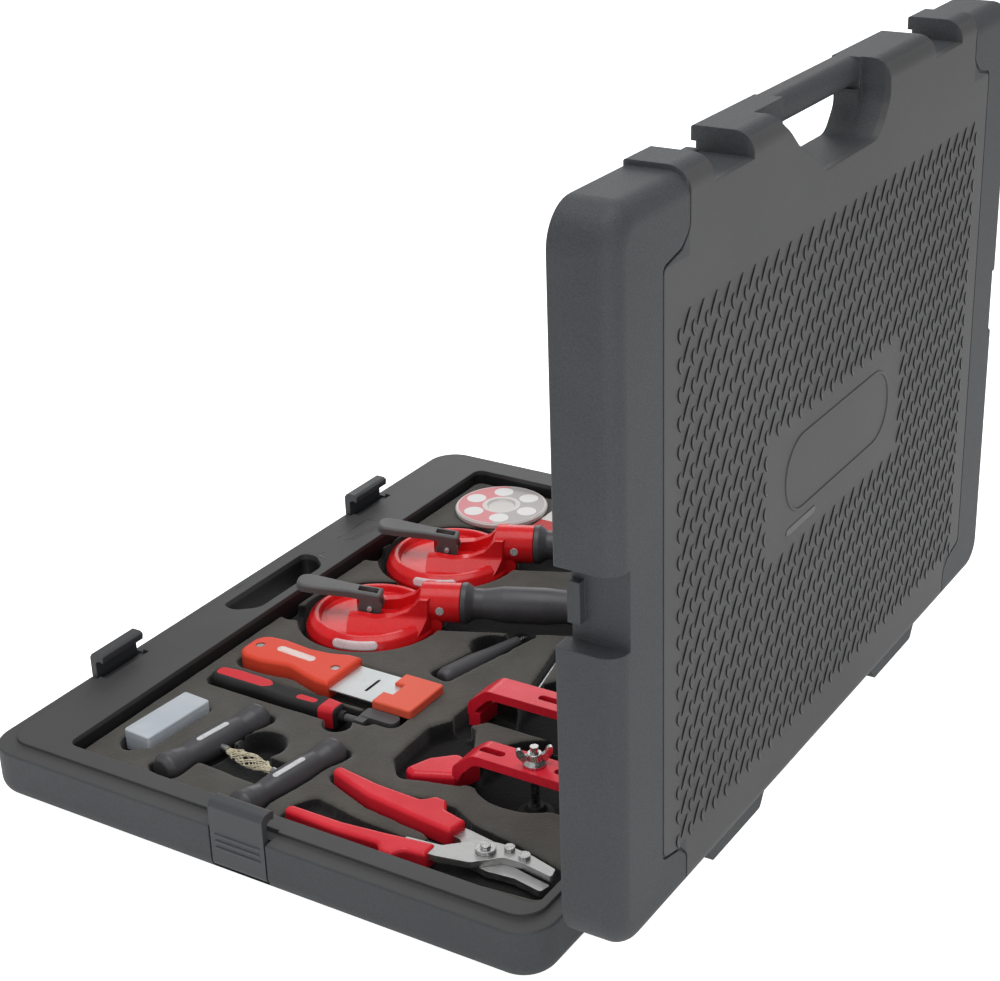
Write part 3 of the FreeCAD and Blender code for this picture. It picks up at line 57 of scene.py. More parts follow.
class Nodes:
    """Small wrapper that makes and wires shader nodes."""

    def __init__(self, name):
        self.mat = bpy.data.materials.new(name)
        self.mat.use_nodes = True
        self.tree = self.mat.node_tree
        self.tree.nodes.clear()
        self.out = self.add("ShaderNodeOutputMaterial")
        self.bsdf = self.add("ShaderNodeBsdfPrincipled")
        self.link(self.bsdf.outputs[0], self.out.inputs[0])
        self.coord = self.add("ShaderNodeTexCoord").outputs["Object"]

    def add(self, kind, **props):
        n = self.tree.nodes.new(kind)
        for k, v in props.items():
            setattr(n, k, v)
        return n

    def link(self, a, b):
        self.tree.links.new(a, b)

    def put(self, socket, value):
        if hasattr(value, "is_output"):
            self.link(value, socket)
        else:
            socket.default_value = value

    def math(self, op, a, b=0.0, c=0.0, clamp=False):
        n = self.add("ShaderNodeMath", operation=op, use_clamp=clamp)
        self.put(n.inputs[0], a)
        self.put(n.inputs[1], b)
        self.put(n.inputs[2], c)
        return n.outputs[0]

    def mix(self, f, a, b, mode="MIX"):
        n = self.add("ShaderNodeMix", data_type="RGBA", blend_type=mode)
        self.put(n.inputs[0], f)
        self.put(n.inputs[6], a)
        self.put(n.inputs[7], b)
        return n.outputs[2]

    def mixf(self, f, a, b):
        n = self.add("ShaderNodeMix", data_type="FLOAT")
        self.put(n.inputs[0], f)
        self.put(n.inputs[2], a)
        self.put(n.inputs[3], b)
        return n.outputs[0]

    def ramp(self, f, lo, hi, a=0.0, b=1.0):
        n = self.add("ShaderNodeMapRange")
        n.interpolation_type = "SMOOTHSTEP"
        self.put(n.inputs[0], f)
        self.put(n.inputs[1], lo)
        self.put(n.inputs[2], hi)
        self.put(n.inputs[3], a)
        self.put(n.inputs[4], b)
        return n.outputs[0]

    def noise(self, scale, detail=2.0, rough=0.5, distort=0.0, vec=None):
        n = self.add("ShaderNodeTexNoise")
        self.link(vec or self.coord, n.inputs["Vector"])
        n.inputs["Scale"].default_value = scale
        n.inputs["Detail"].default_value = detail
        n.inputs["Roughness"].default_value = rough
        n.inputs["Distortion"].default_value = distort
        return n.outputs[0]

    def cells(self, scale, feature="F1", smooth=None, rnd=1.0, vec=None):
        n = self.add("ShaderNodeTexVoronoi", feature=feature)
        self.link(vec or self.coord, n.inputs["Vector"])
        n.inputs["Scale"].default_value = scale
        n.inputs["Randomness"].default_value = rnd
        if smooth is not None and "Smoothness" in n.inputs:
            n.inputs["Smoothness"].default_value = smooth
        return n.outputs[0]

    def stretched(self, sx, sy, sz, rot=(0, 0, 0)):
        n = self.add("ShaderNodeMapping")
        self.link(self.coord, n.inputs[0])
        n.inputs["Rotation"].default_value = rot
        n.inputs["Scale"].default_value = (sx, sy, sz)
        return n.outputs[0]

    def xyz(self, vec=None):
        n = self.add("ShaderNodeSeparateXYZ")
        self.link(vec or self.coord, n.inputs[0])
        return n.outputs[0], n.outputs[1], n.outputs[2]

    def bump(self, height, strength, distance, normal=None):
        n = self.add("ShaderNodeBump")
        self.put(n.inputs["Strength"], strength)
        n.inputs["Distance"].default_value = distance
        self.link(height, n.inputs["Height"])
        if normal is not None:
            self.link(normal, n.inputs["Normal"])
        return n.outputs[0]

    def rounded(self, radius, samples=4):
        n = self.add("ShaderNodeBevel", samples=samples)
        n.inputs["Radius"].default_value = radius
        return n.outputs[0]

    def edge(self, radius, gain=5.0):
        """1 near a sharp edge, 0 on flats."""
        bev = self.rounded(radius)
        geo = self.add("ShaderNodeNewGeometry")
        d = self.add("ShaderNodeVectorMath", operation="DOT_PRODUCT")
        self.link(bev, d.inputs[0])
        self.link(geo.outputs["Normal"], d.inputs[1])
        inv = self.math("SUBTRACT", 1.0, d.outputs["Value"])
        return self.math("MULTIPLY", inv, gain, clamp=True), bev

    def set(self, **vals):
        names = {"color": "Base Color", "rough": "Roughness", "metal": "Metallic", "normal": "Normal", "coat": "Coat Weight",
                 "coat_rough": "Coat Roughness", "spec": "Specular IOR Level", "sheen": "Sheen Weight", "sheen_rough": "Sheen Roughness",
                 "sss": "Subsurface Weight", "sss_scale": "Subsurface Scale", "trans": "Transmission Weight", "ior": "IOR", "alpha": "Alpha"}
        for k, v in vals.items():
            self.put(self.bsdf.inputs[names[k]], v)
        return self.mat


def moulded(name, rgb, rough, rgb2=None, grain=900.0, grain_d=0.00012, grain_s=0.35, mottle=0.35, coat=0.0, edge=0.0, spec=0.5, scuff=0.0, radius=0.0006):
    """Injection-moulded plastic: fine spark texture, slow colour drift, lighter worn edges, a few scuffs."""
    m = Nodes(name)
    base, two = lin(rgb), lin(rgb2 or tuple(min(255, v * 1.13 + 3) for v in rgb))
    slow = m.noise(22.0, 3.0)
    fine = m.noise(grain, 3.0, 0.6)
    col = m.mix(m.math("MULTIPLY", m.ramp(slow, 0.35, 0.7), mottle), base, two)
    col = m.mix(m.math("MULTIPLY", m.ramp(fine, 0.5, 0.78), 0.22), col, lin(tuple(min(255, v * 1.35 + 12) for v in rgb)))
    e, bev = m.edge(radius, 4.0)
    if edge > 0:
        col = m.mix(m.math("MULTIPLY", e, edge), col, lin(tuple(min(255, v * 1.6 + 34) for v in rgb)))
    rg = m.mixf(m.ramp(slow, 0.3, 0.7), rough - 0.05, rough + 0.07)
    if scuff > 0:
        st = m.noise(60.0, 6.0, 0.7, 0.3, m.stretched(0.5, 5.0, 1.0, (0.3, 0.2, 0.9)))
        rg = m.mixf(m.math("MULTIPLY", m.ramp(st, 0.6, 0.72), scuff), rg, 0.75)
    nor = m.bump(fine, grain_s, grain_d, bev)
    return m.set(color=col, rough=rg, normal=nor, coat=coat, coat_rough=0.15, spec=spec)


def gloss(name, rgb, rgb2, rough=0.16, orange=0.00006, radius=0.0009, coat=0.7, edge=0.18, dust=0.08, spec=0.5):
    """Thick paint or dipped coating: wavy clear surface, darker in the dips, lighter rim at edges, faint dust on flats."""
    m = Nodes(name)
    slow = m.noise(30.0, 2.0)
    peel = m.noise(260.0, 2.0)
    e, bev = m.edge(radius, 4.0)
    col = m.mix(m.ramp(slow, 0.35, 0.65), lin(rgb), lin(rgb2))
    col = m.mix(m.math("MULTIPLY", e, edge), col, lin(tuple(min(255, v * 1.1 + 40) for v in rgb)))
    geo = m.add("ShaderNodeNewGeometry")
    nz = m.xyz(geo.outputs["Normal"])[2]
    speck = m.ramp(m.noise(1400.0, 2.0), 0.66, 0.74)
    col = m.mix(m.math("MULTIPLY", m.math("MULTIPLY", speck, m.ramp(nz, 0.6, 0.95)), dust), col, lin((235, 220, 215)))
    rg = m.mixf(m.ramp(m.noise(80.0, 3.0), 0.35, 0.7), rough - 0.04, rough + 0.08)
    nor = m.bump(peel, 0.35, orange, bev)
    return m.set(color=col, rough=rg, normal=nor, coat=coat, coat_rough=0.06, spec=spec)


def metal(name, rgb, rough, brush=(1.0, 1.0, 1.0), brush_d=0.00002, stain=0.25, radius=0.0005, aniso=0.0, solid=1.0):
    """Machined or plated metal: brushed streaks, cloudy tarnish, rounded bright edges."""
    m = Nodes(name)
    vec = m.stretched(*brush)
    streak = m.noise(500.0, 4.0, 0.6, 0.0, vec)
    cloud = m.noise(90.0, 4.0, 0.6)
    e, bev = m.edge(radius, 4.0)
    dark = lin(tuple(v * 0.62 for v in rgb))
    col = m.mix(m.math("MULTIPLY", m.ramp(cloud, 0.45, 0.75), stain), lin(rgb), dark)
    col = m.mix(m.math("MULTIPLY", e, 0.4), col, lin((240, 240, 238)))
    rg = m.mixf(m.ramp(streak, 0.35, 0.65), rough - 0.07, rough + 0.1)
    nor = m.bump(streak, 0.4, brush_d, bev)
    m.bsdf.inputs["Anisotropic"].default_value = aniso
    return m.set(color=col, rough=rg, normal=nor, metal=solid)


def case_material(name, lid):
    """Blow-moulded shell: coarse pebbled walls outside, finer panel and rim; on the base, painted shade colours the
    well and the carry slot walls near-black.
    """
    m = Nodes(name)
    x, y, z = m.xyz()
    geo = m.add("ShaderNodeNewGeometry")
    ax = m.math("ABSOLUTE", x)
    if lid:
        face = m.ramp(y, 0.2835, 0.2845)
        cap = m.math("MULTIPLY", m.ramp(ax, 0.2465, 0.2475, 1, 0), m.math("MULTIPLY", m.ramp(z, 0.0825, 0.0835), m.ramp(z, 0.4525, 0.4535, 1, 0)))
        mid = m.ramp(ax, 0.2165, 0.2172, 1, 0)
        smooth = m.math("MULTIPLY", face, m.math("MAXIMUM", cap, mid))
        inner = m.ramp(y, 0.2492, 0.2498, 1, 0)
        smooth = m.math("MAXIMUM", smooth, inner)
    else:
        rim = m.ramp(z, 0.0372, 0.0380)
        ins = m.math("MULTIPLY", m.ramp(ax, 0.2875, 0.289, 1, 0), m.ramp(z, 0.004, 0.006))
        smooth = m.math("MAXIMUM", rim, m.math("MULTIPLY", ins, m.ramp(m.math("ABSOLUTE", y), 0.222, 0.224, 1, 0)))
    rough_zone = m.math("SUBTRACT", 1.0, smooth)
    slow = m.noise(9.0, 3.0)
    peb = m.noise(1050.0, 2.0, 0.55)
    cell = m.cells(900.0, "SMOOTH_F1", 0.6)
    fine = m.noise(2600.0, 2.0, 0.6)
    # colour: bluish charcoal with pale specks on the grain tops, warmer on smooth faces
    wall = m.mix(m.ramp(slow, 0.3, 0.7), lin((58, 61, 64)), lin((64, 67, 70)))
    wall = m.mix(m.math("MULTIPLY", m.ramp(peb, 0.54, 0.74), 0.5), wall, lin((84, 87, 90)))
    wall = m.mix(m.math("MULTIPLY", m.ramp(cell, 0.35, 0.75), 0.4), wall, lin((46, 48, 51)))
    flat = m.mix(m.ramp(slow, 0.3, 0.7), lin((66, 66, 67)), lin((72, 72, 73)))
    flat = m.mix(m.math("MULTIPLY", m.ramp(m.noise(1500.0, 2.0), 0.5, 0.75), 0.25), flat, lin((84, 84, 86)))
    col = m.mix(smooth, wall, flat)
    if not lid:
        # painted shade: the well behind the rim and the walls of the carry slot are coloured near-black, standing in
        # for the shade that falls inside them
        deep = m.math("MULTIPLY", m.ramp(ax, 0.2716, 0.2722, 1, 0), m.ramp(z, 0.0362, 0.0372, 1, 0))
        deep = m.math("MULTIPLY", deep, m.math("MULTIPLY", m.ramp(y, -0.1772, -0.1766), m.ramp(y, 0.2138, 0.2144, 1, 0)))
        slot = m.math("MULTIPLY", m.math("MULTIPLY", m.ramp(ax, 0.0560, 0.0566, 1, 0), m.ramp(z, 0.0350, 0.0365, 1, 0)), m.math("MULTIPLY", m.ramp(y, -0.2140, -0.2136), m.ramp(y, -0.1836, -0.1830, 1, 0)))
        deep = m.math("MAXIMUM", deep, slot)
        col = m.mix(deep, col, m.mix(m.ramp(slow, 0.3, 0.7), lin((20, 20, 21)), lin((27, 27, 28))))
    e, bev = m.edge(0.0011, 3.5)
    col = m.mix(m.math("MULTIPLY", e, 0.16), col, lin((118, 121, 124)))
    # scuffs: thin pale streaks, sparse
    st = m.noise(26.0, 8.0, 0.75, 0.6, m.stretched(0.4, 0.4, 6.0, (0.2, 0.5, 0.1)))
    sc = m.math("MULTIPLY", m.ramp(st, 0.68, 0.74), 0.15)
    col = m.mix(sc, col, lin((96, 98, 100)))
    rg = m.mixf(smooth, 0.52, 0.46)
    rg = m.mixf(m.ramp(fine, 0.3, 0.7), rg, m.math("ADD", rg, 0.1))
    h1 = m.math("SUBTRACT", peb, m.math("MULTIPLY", cell, 0.55))
    b1 = m.bump(h1, m.math("MULTIPLY", rough_zone, 0.7), 0.00032, bev)
    b2 = m.bump(fine, 0.25, 0.00012, b1)
    return m.set(color=col, rough=rg, normal=b2, spec=0.42)


def foam_material(name, top_axis=2, top=0.0287, rgb=(80, 78, 73), wall=(22, 22, 22)):
    """Closed-cell foam: pitted skin, soft sheen, and darker cut walls. Their near-black colour is painted shade over
    the cut face's own darker tone. With Z as the top axis, they go darker still towards the pocket floor, which is also
    painted shade.
    """
    m = Nodes(name)
    c = m.xyz()[top_axis]
    cell = m.cells(850.0, "F1")
    cell2 = m.cells(330.0, "F1")
    n1 = m.noise(35.0, 4.0, 0.6)
    n2 = m.noise(420.0, 3.0, 0.6)
    skin = m.mix(m.ramp(n1, 0.3, 0.7), lin(rgb), lin(tuple(v * 1.12 for v in rgb)))
    skin = m.mix(m.math("MULTIPLY", m.ramp(cell, 0.0, 0.55, 1, 0), 0.30), skin, lin(tuple(v * 0.62 for v in rgb)))
    skin = m.mix(m.math("MULTIPLY", m.ramp(n2, 0.55, 0.75), 0.35), skin, lin(tuple(min(255, v * 1.3 + 6) for v in rgb)))
    # painted shade: the cut walls get a near-black colour for the shade inside the pockets
    cut = m.mix(m.ramp(n2, 0.3, 0.7), lin(wall), lin(tuple(v * 1.7 for v in wall)))
    up = m.ramp(c, top - 0.0016, top - 0.0004) if top_axis == 2 else m.ramp(c, top, top + 0.001, 1, 0)
    # painted shade: the walls darken further towards the pocket floor
    deep = m.ramp(c, 0.012, top - 0.002) if top_axis == 2 else 1.0
    cut = m.mix(deep, lin(tuple(v * 0.55 for v in wall)), cut)
    col = m.mix(up, cut, skin)
    h = m.math("ADD", m.math("MULTIPLY", cell, 0.6), m.math("MULTIPLY", cell2, 0.5))
    b = m.bump(h, 0.6, 0.0004)
    b = m.bump(n2, 0.35, 0.0003, b)
    return m.set(color=col, rough=0.92, normal=b, spec=0.2, sheen=0.25, sheen_rough=0.5)


def rubber(name, rgb=(34, 33, 34), rough=0.62):
    m = Nodes(name)
    n = m.noise(700.0, 3.0)
    slow = m.noise(40.0, 2.0)
    e, bev = m.edge(0.0008, 4.0)
    col = m.mix(m.ramp(slow, 0.35, 0.65), lin(rgb), lin(tuple(v * 1.35 + 4 for v in rgb)))
    col = m.mix(m.math("MULTIPLY", e, 0.3), col, lin((96, 95, 96)))
    nor = m.bump(n, 0.4, 0.0001, bev)
    return m.set(color=col, rough=m.mixf(n, rough - 0.1, rough + 0.12), normal=nor, spec=0.35)


MAT = {}
MAT["case_base"] = case_material("case_moulding_base", False)
MAT["case_lid"] = case_material("case_moulding_lid", True)
MAT["latch"] = moulded("latch_moulding", (58, 60, 63), 0.44, grain=1200.0, edge=0.45, scuff=0.4, radius=0.0009)
MAT["black"] = moulded("black_moulding", (74, 73, 75), 0.5, grain=1000.0, edge=0.35, scuff=0.3)
MAT["grip"] = moulded("grip_moulding", (70, 69, 72), 0.42, grain=700.0, edge=0.25, grain_s=0.25)
MAT["lever"] = moulded("lever_coating", (86, 85, 85), 0.46, grain=1500.0, edge=0.4, grain_s=0.5, grain_d=0.00016)
MAT["knife"] = moulded("knife_moulding", (32, 31, 32), 0.55, grain=1400.0, edge=0.2, spec=0.3)
MAT["red_plastic"] = moulded("red_moulding", (214, 34, 46), 0.4, rgb2=(224, 44, 54), grain=900.0, edge=0.3, coat=0.05, spec=0.25)
MAT["orange"] = moulded("orange_moulding", (232, 72, 48), 0.42, rgb2=(238, 82, 56), grain=900.0, edge=0.35, coat=0.05, grain_s=0.2, spec=0.25)
MAT["guard"] = moulded("guard_moulding", (236, 92, 66), 0.42, rgb2=(240, 104, 80), grain=900.0, edge=0.4, coat=0.05, grain_s=0.2, spec=0.25)
MAT["red_paint"] = gloss("red_paint", (222, 26, 32), (232, 34, 38), 0.26, coat=0.22, spec=0.22)
MAT["red_dip"] = gloss("red_dip", (224, 34, 50), (232, 44, 58), 0.34, orange=0.0001, coat=0.1, edge=0.22, spec=0.25)
MAT["red_strap"] = gloss("red_strap", (226, 30, 50), (234, 40, 60), 0.3, coat=0.2, spec=0.25)
MAT["steel"] = metal("pin_steel_m", (168, 168, 166), 0.32, (1.0, 1.0, 6.0))
MAT["blade"] = metal("blade_steel_m", (222, 226, 226), 0.5, (0.15, 4.0, 1.0), stain=0.08, brush_d=0.000008, aniso=0.2)
MAT["chrome"] = metal("chrome_plate", (206, 206, 205), 0.22, (1.0, 1.0, 1.0), stain=0.06, brush_d=0.000006)
MAT["forged"] = metal("forged_jaws", (196, 196, 195), 0.4, (1.0, 0.3, 1.0), stain=0.08, brush_d=0.000008)
MAT["zinc"] = metal("zinc_pins", (228, 230, 232), 0.3, (1.0, 1.0, 1.0), stain=0.06, brush_d=0.000006, solid=0.55)
MAT["rubber"] = rubber("cup_rubber")


def clear_plastic():
    m = Nodes("milky_polypropylene")
    n = m.noise(45.0, 3.0)
    fine = m.noise(1800.0, 2.0)
    col = m.mix(m.ramp(n, 0.3, 0.7), lin((228, 235, 243)), lin((240, 246, 250)))
    e, bev = m.edge(0.0008, 4.0)
    col = m.mix(m.math("MULTIPLY", e, 0.5), col, lin((250, 252, 255)))
    nor = m.bump(fine, 0.2, 0.00006, bev)
    return m.set(color=col, rough=m.mixf(n, 0.24, 0.4), normal=nor, trans=0.42, ior=1.45, sss=0.0, spec=0.5)


MAT["clear"] = clear_plastic()


def cord():
    m = Nodes("cord_fibre")
    tw = m.noise(900.0, 3.0, 0.6, 0.0, m.stretched(1.0, 0.35, 1.0, (0, 0, 0.35)))
    big = m.noise(60.0, 2.0)
    col = m.mix(m.ramp(tw, 0.3, 0.7), lin((190, 178, 146)), lin((236, 228, 204)))
    col = m.mix(m.math("MULTIPLY", m.ramp(big, 0.5, 0.7), 0.3), col, lin((160, 146, 116)))
    return m.set(color=col, rough=0.8, normal=m.bump(tw, 0.6, 0.0002), spec=0.25, sheen=0.4)


MAT["cord"] = cord()


def reel_print():
    """Half red, half grey disc with a ring of plain white discs; the middle is pale."""
    m = Nodes("reel_print")
    x, y, z = m.xyz()
    cx, cy = -0.228, -0.124
    dx, dy = m.math("SUBTRACT", x, cx), m.math("SUBTRACT", y, cy)
    r = m.math("SQRT", m.math("ADD", m.math("MULTIPLY", dx, dx), m.math("MULTIPLY", dy, dy)))
    ang = m.math("ARCTAN2", dy, dx)
    side = m.ramp(m.math("ADD", m.math("MULTIPLY", dx, 0.35), m.math("MULTIPLY", dy, -0.94)), -0.0006, 0.0006)
    col = m.mix(side, lin((172, 166, 164)), lin((214, 116, 122)))
    # six plain discs on one circle
    seg = math.pi / 3
    a2 = m.math("SUBTRACT", m.math("PINGPONG", m.math("ADD", ang, 10.0), seg / 2), 0.0)
    px = m.math("SUBTRACT", m.math("MULTIPLY", r, m.math("COSINE", a2)), 0.0270)
    py = m.math("MULTIPLY", r, m.math("SINE", a2))
    d = m.math("SQRT", m.math("ADD", m.math("MULTIPLY", px, px), m.math("MULTIPLY", py, py)))
    col = m.mix(m.ramp(d, 0.0083, 0.0088, 1, 0), col, lin((228, 226, 224)))
    col = m.mix(m.ramp(r, 0.0382, 0.0388), col, lin((220, 210, 208)))
    col = m.mix(m.ramp(r, 0.0165, 0.0171, 1, 0), col, lin((214, 208, 205)))
    n = m.noise(1200.0, 2.0)
    col = m.mix(m.math("MULTIPLY", m.ramp(n, 0.5, 0.8), 0.2), col, lin((240, 236, 232)))
    return m.set(color=col, rough=0.45, normal=m.bump(n, 0.15, 0.00005), coat=0.2)


MAT["reel_print"] = reel_print()
MAT["reel"] = moulded("reel_moulding", (206, 202, 198), 0.4, grain=900.0, edge=0.2)


def carton():
    m = Nodes("printed_card")
    x, y, z = m.xyz()
    n = m.noise(700.0, 4.0, 0.65)
    big = m.noise(60.0, 2.0)
    band = m.ramp(m.math("ADD", x, 0.226), -0.0006, 0.0006)
    col = m.mix(band, lin((222, 219, 214)), lin((196, 46, 48)))
    col = m.mix(m.math("MULTIPLY", m.ramp(n, 0.45, 0.8), 0.25), col, lin((236, 230, 222)))
    e, bev = m.edge(0.0007, 5.0)
    col = m.mix(m.math("MULTIPLY", e, 0.6), col, lin((232, 226, 214)))
    return m.set(color=col, rough=0.62, normal=m.bump(n, 0.25, 0.0001, bev))


MAT["card"] = carton()
MAT["foam"] = foam_material("tool_foam")
MAT["lid_foam"] = foam_material("lid_foam_skin", 1, 0.2778, (74, 73, 71), (40, 40, 40))
MAT["label"] = moulded("label_film", (226, 226, 222), 0.35, rgb2=(236, 236, 232), grain=600.0, edge=0.1, grain_s=0.1)
MAT["panel"] = None

PAINT = {
    "base_shell": "case_base", "lid_shell": "case_lid", "hinge_pins": "steel", "latch_pins": "steel",
    "latch_front_left": "latch", "latch_front_right": "latch", "latch_side_left": "latch", "latch_side_right": "latch",
    "scraper_handle": "orange", "scraper_blade": "blade", "scraper_screws": "steel", "scraper_guard": "guard",
    "knife_handle": "knife", "knife_inlays": "red_plastic", "knife_blade": "black",
    "blade_tray": "clear", "spare_blades": "blade", "blade_lid": "clear",
    "pull_handle_near": "grip", "pull_handle_far": "grip", "pull_ferrules": "steel", "pull_wire": "cord",
    "pliers_arm_inner": "forged", "pliers_grip_inner": "red_dip", "pliers_pivot": "chrome", "pliers_arm_outer": "forged",
    "pliers_grip_outer": "red_dip", "pliers_bolts": "chrome",
    "clamp_a_strap": "red_strap", "clamp_a_stud": "chrome", "clamp_a_wing_nut": "chrome", "clamp_a_pad": "rubber",
    "clamp_b_strap": "red_strap", "clamp_b_stud": "chrome", "clamp_b_wing_nut": "chrome", "clamp_b_pad": "rubber",
    "picker_handle": "black", "picker_tip": "chrome", "steel_rod": "chrome", "wire_reel": "reel", "reel_label": "reel_print",
    "carton_box": "card", "foam_insert": "foam", "lid_foam": "lid_foam",
}
for k in ("a", "b"):
    PAINT["lifter_%s_cup" % k] = "rubber"
    PAINT["lifter_%s_body" % k] = "red_paint"
    PAINT["lifter_%s_plunger" % k] = "zinc"
    PAINT["lifter_%s_pins" % k] = "zinc"
    PAINT["lifter_%s_grip" % k] = "grip"
    PAINT["lifter_%s_lever" % k] = "lever"
for name, o in NODES.items():
    if name in PAINT:
        o.data.materials.clear()
        o.data.materials.append(MAT[PAINT[name]])


def mesh_object(name, verts, faces, mat, smooth=True):
    me = bpy.data.meshes.new(name)
    me.from_pydata([tuple(v) for v in verts], [], faces)
    me.validate()
    me.update()
    ob = bpy.data.objects.new(name, me)
    bpy.context.scene.collection.objects.link(ob)
    me.materials.append(mat)
    if smooth:
        for p in me.polygons:
            p.use_smooth = True
    return ob


def bake(ob):
    """Applies the modifiers and gives the object its final mesh."""
    dg = bpy.context.evaluated_depsgraph_get()
    me = bpy.data.meshes.new_from_object(ob.evaluated_get(dg), preserve_all_data_layers=False, depsgraph=dg)
    ob.modifiers.clear()
    old = ob.data
    ob.data = me
    if old.users == 0:
        bpy.data.meshes.remove(old)


# ------------------------------------------------------------- foam insert
def foam_insert():
    src = NODES["foam_insert"].data
    bm = bmesh.new()
    bm.from_mesh(src)
    bmesh.ops.remove_doubles(bm, verts=bm.verts, dist=0.00002)
    me = bpy.data.meshes.new("tool_foam")
    bm.to_mesh(me)
    bm.free()
    ob = bpy.data.objects.new("tool_foam", me)
    bpy.context.scene.collection.objects.link(ob)
    rm = ob.modifiers.new("cells", "REMESH")
    rm.mode = "VOXEL"
    rm.voxel_size = 0.0021
    rm.use_smooth_shade = True
    bake(ob)
    me = ob.data
    n = len(me.vertices)
    co = np.empty(n * 3)
    me.vertices.foreach_get("co", co)
    co = co.reshape(-1, 3)
    # the cut edges are a little wavy and the skin is slightly uneven
    for i in range(n):
        x, y, z = co[i]
        if z > 0.0055:
            q = Vector((x * 60.0, y * 60.0, z * 60.0))
            w = noise.noise_vector(q)
            s = noise.noise(Vector((x * 18.0, y * 18.0, 3.0)))
            co[i, 0] += 0.00028 * w.x
            co[i, 1] += 0.00028 * w.y
            if z > 0.0270:
                co[i, 2] += 0.00022 * w.z + 0.0003 * s - 0.0001
    me.vertices.foreach_set("co", co.reshape(-1))
    me.materials.clear()
    me.materials.append(MAT["foam"])
    for p in me.polygons:
        p.use_smooth = True
    me.update()
    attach(ob, "case_base")
    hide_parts("foam_insert")
    return ob


foam_insert()


# --------------------------------------------------------------- lid foam
def lid_foam():
    lo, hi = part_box("lid_foam")
    nx, nz = 108, 80
    verts, faces = [], []
    sx, sz = (hi.x - lo.x), (hi.z - lo.z)
    r = 0.008

    def edge_inset(u, v):
        # distance to the nearest side, for the rolled edge
        return min(u * sx, (1 - u) * sx, v * sz, (1 - v) * sz)

    for j in range(nz + 1):
        for i in range(nx + 1):
            u, v = i / nx, j / nz
            x, z = lo.x + u * sx, lo.z + v * sz
            d = edge_inset(u, v)
            t = min(1.0, d / 0.007)
            roll = 0.0032 * (1.0 - math.sqrt(max(0.0, 1.0 - (1.0 - t) ** 2)))
            wave = 0.0005 * noise.noise(Vector((x * 14.0, 0.0, z * 14.0)))
            verts.append((x, lo.y + 0.0006 + roll + wave * t, z))
    for j in range(nz):
        for i in range(nx):
            a = j * (nx + 1) + i
            faces.append((a, a + 1, a + nx + 2, a + nx + 1))
    front = len(verts)
    ring = [i for i in range(nx + 1)] + [(j + 1) * (nx + 1) - 1 for j in range(1, nz + 1)] + [nz * (nx + 1) + i for i in range(nx - 1, -1, -1)] + [j * (nx + 1) for j in range(nz - 1, 0, -1)]
    for i in ring:
        x, y, z = verts[i]
        verts.append((x, hi.y - 0.0002, z))
    k = len(ring)
    for i in range(k):
        a, b = ring[i], ring[(i + 1) % k]
        faces.append((b, a, front + i, front + (i + 1) % k))
    faces.append(tuple(front + i for i in range(k)))
    ob = mesh_object("lid_foam_pad", verts, faces, MAT["lid_foam"])
    bm = bmesh.new()
    bm.from_mesh(ob.data)
    bmesh.ops.recalc_face_normals(bm, faces=bm.faces)
    bm.to_mesh(ob.data)
    bm.free()
    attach(ob, "lid")
    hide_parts("lid_foam")


lid_foam()


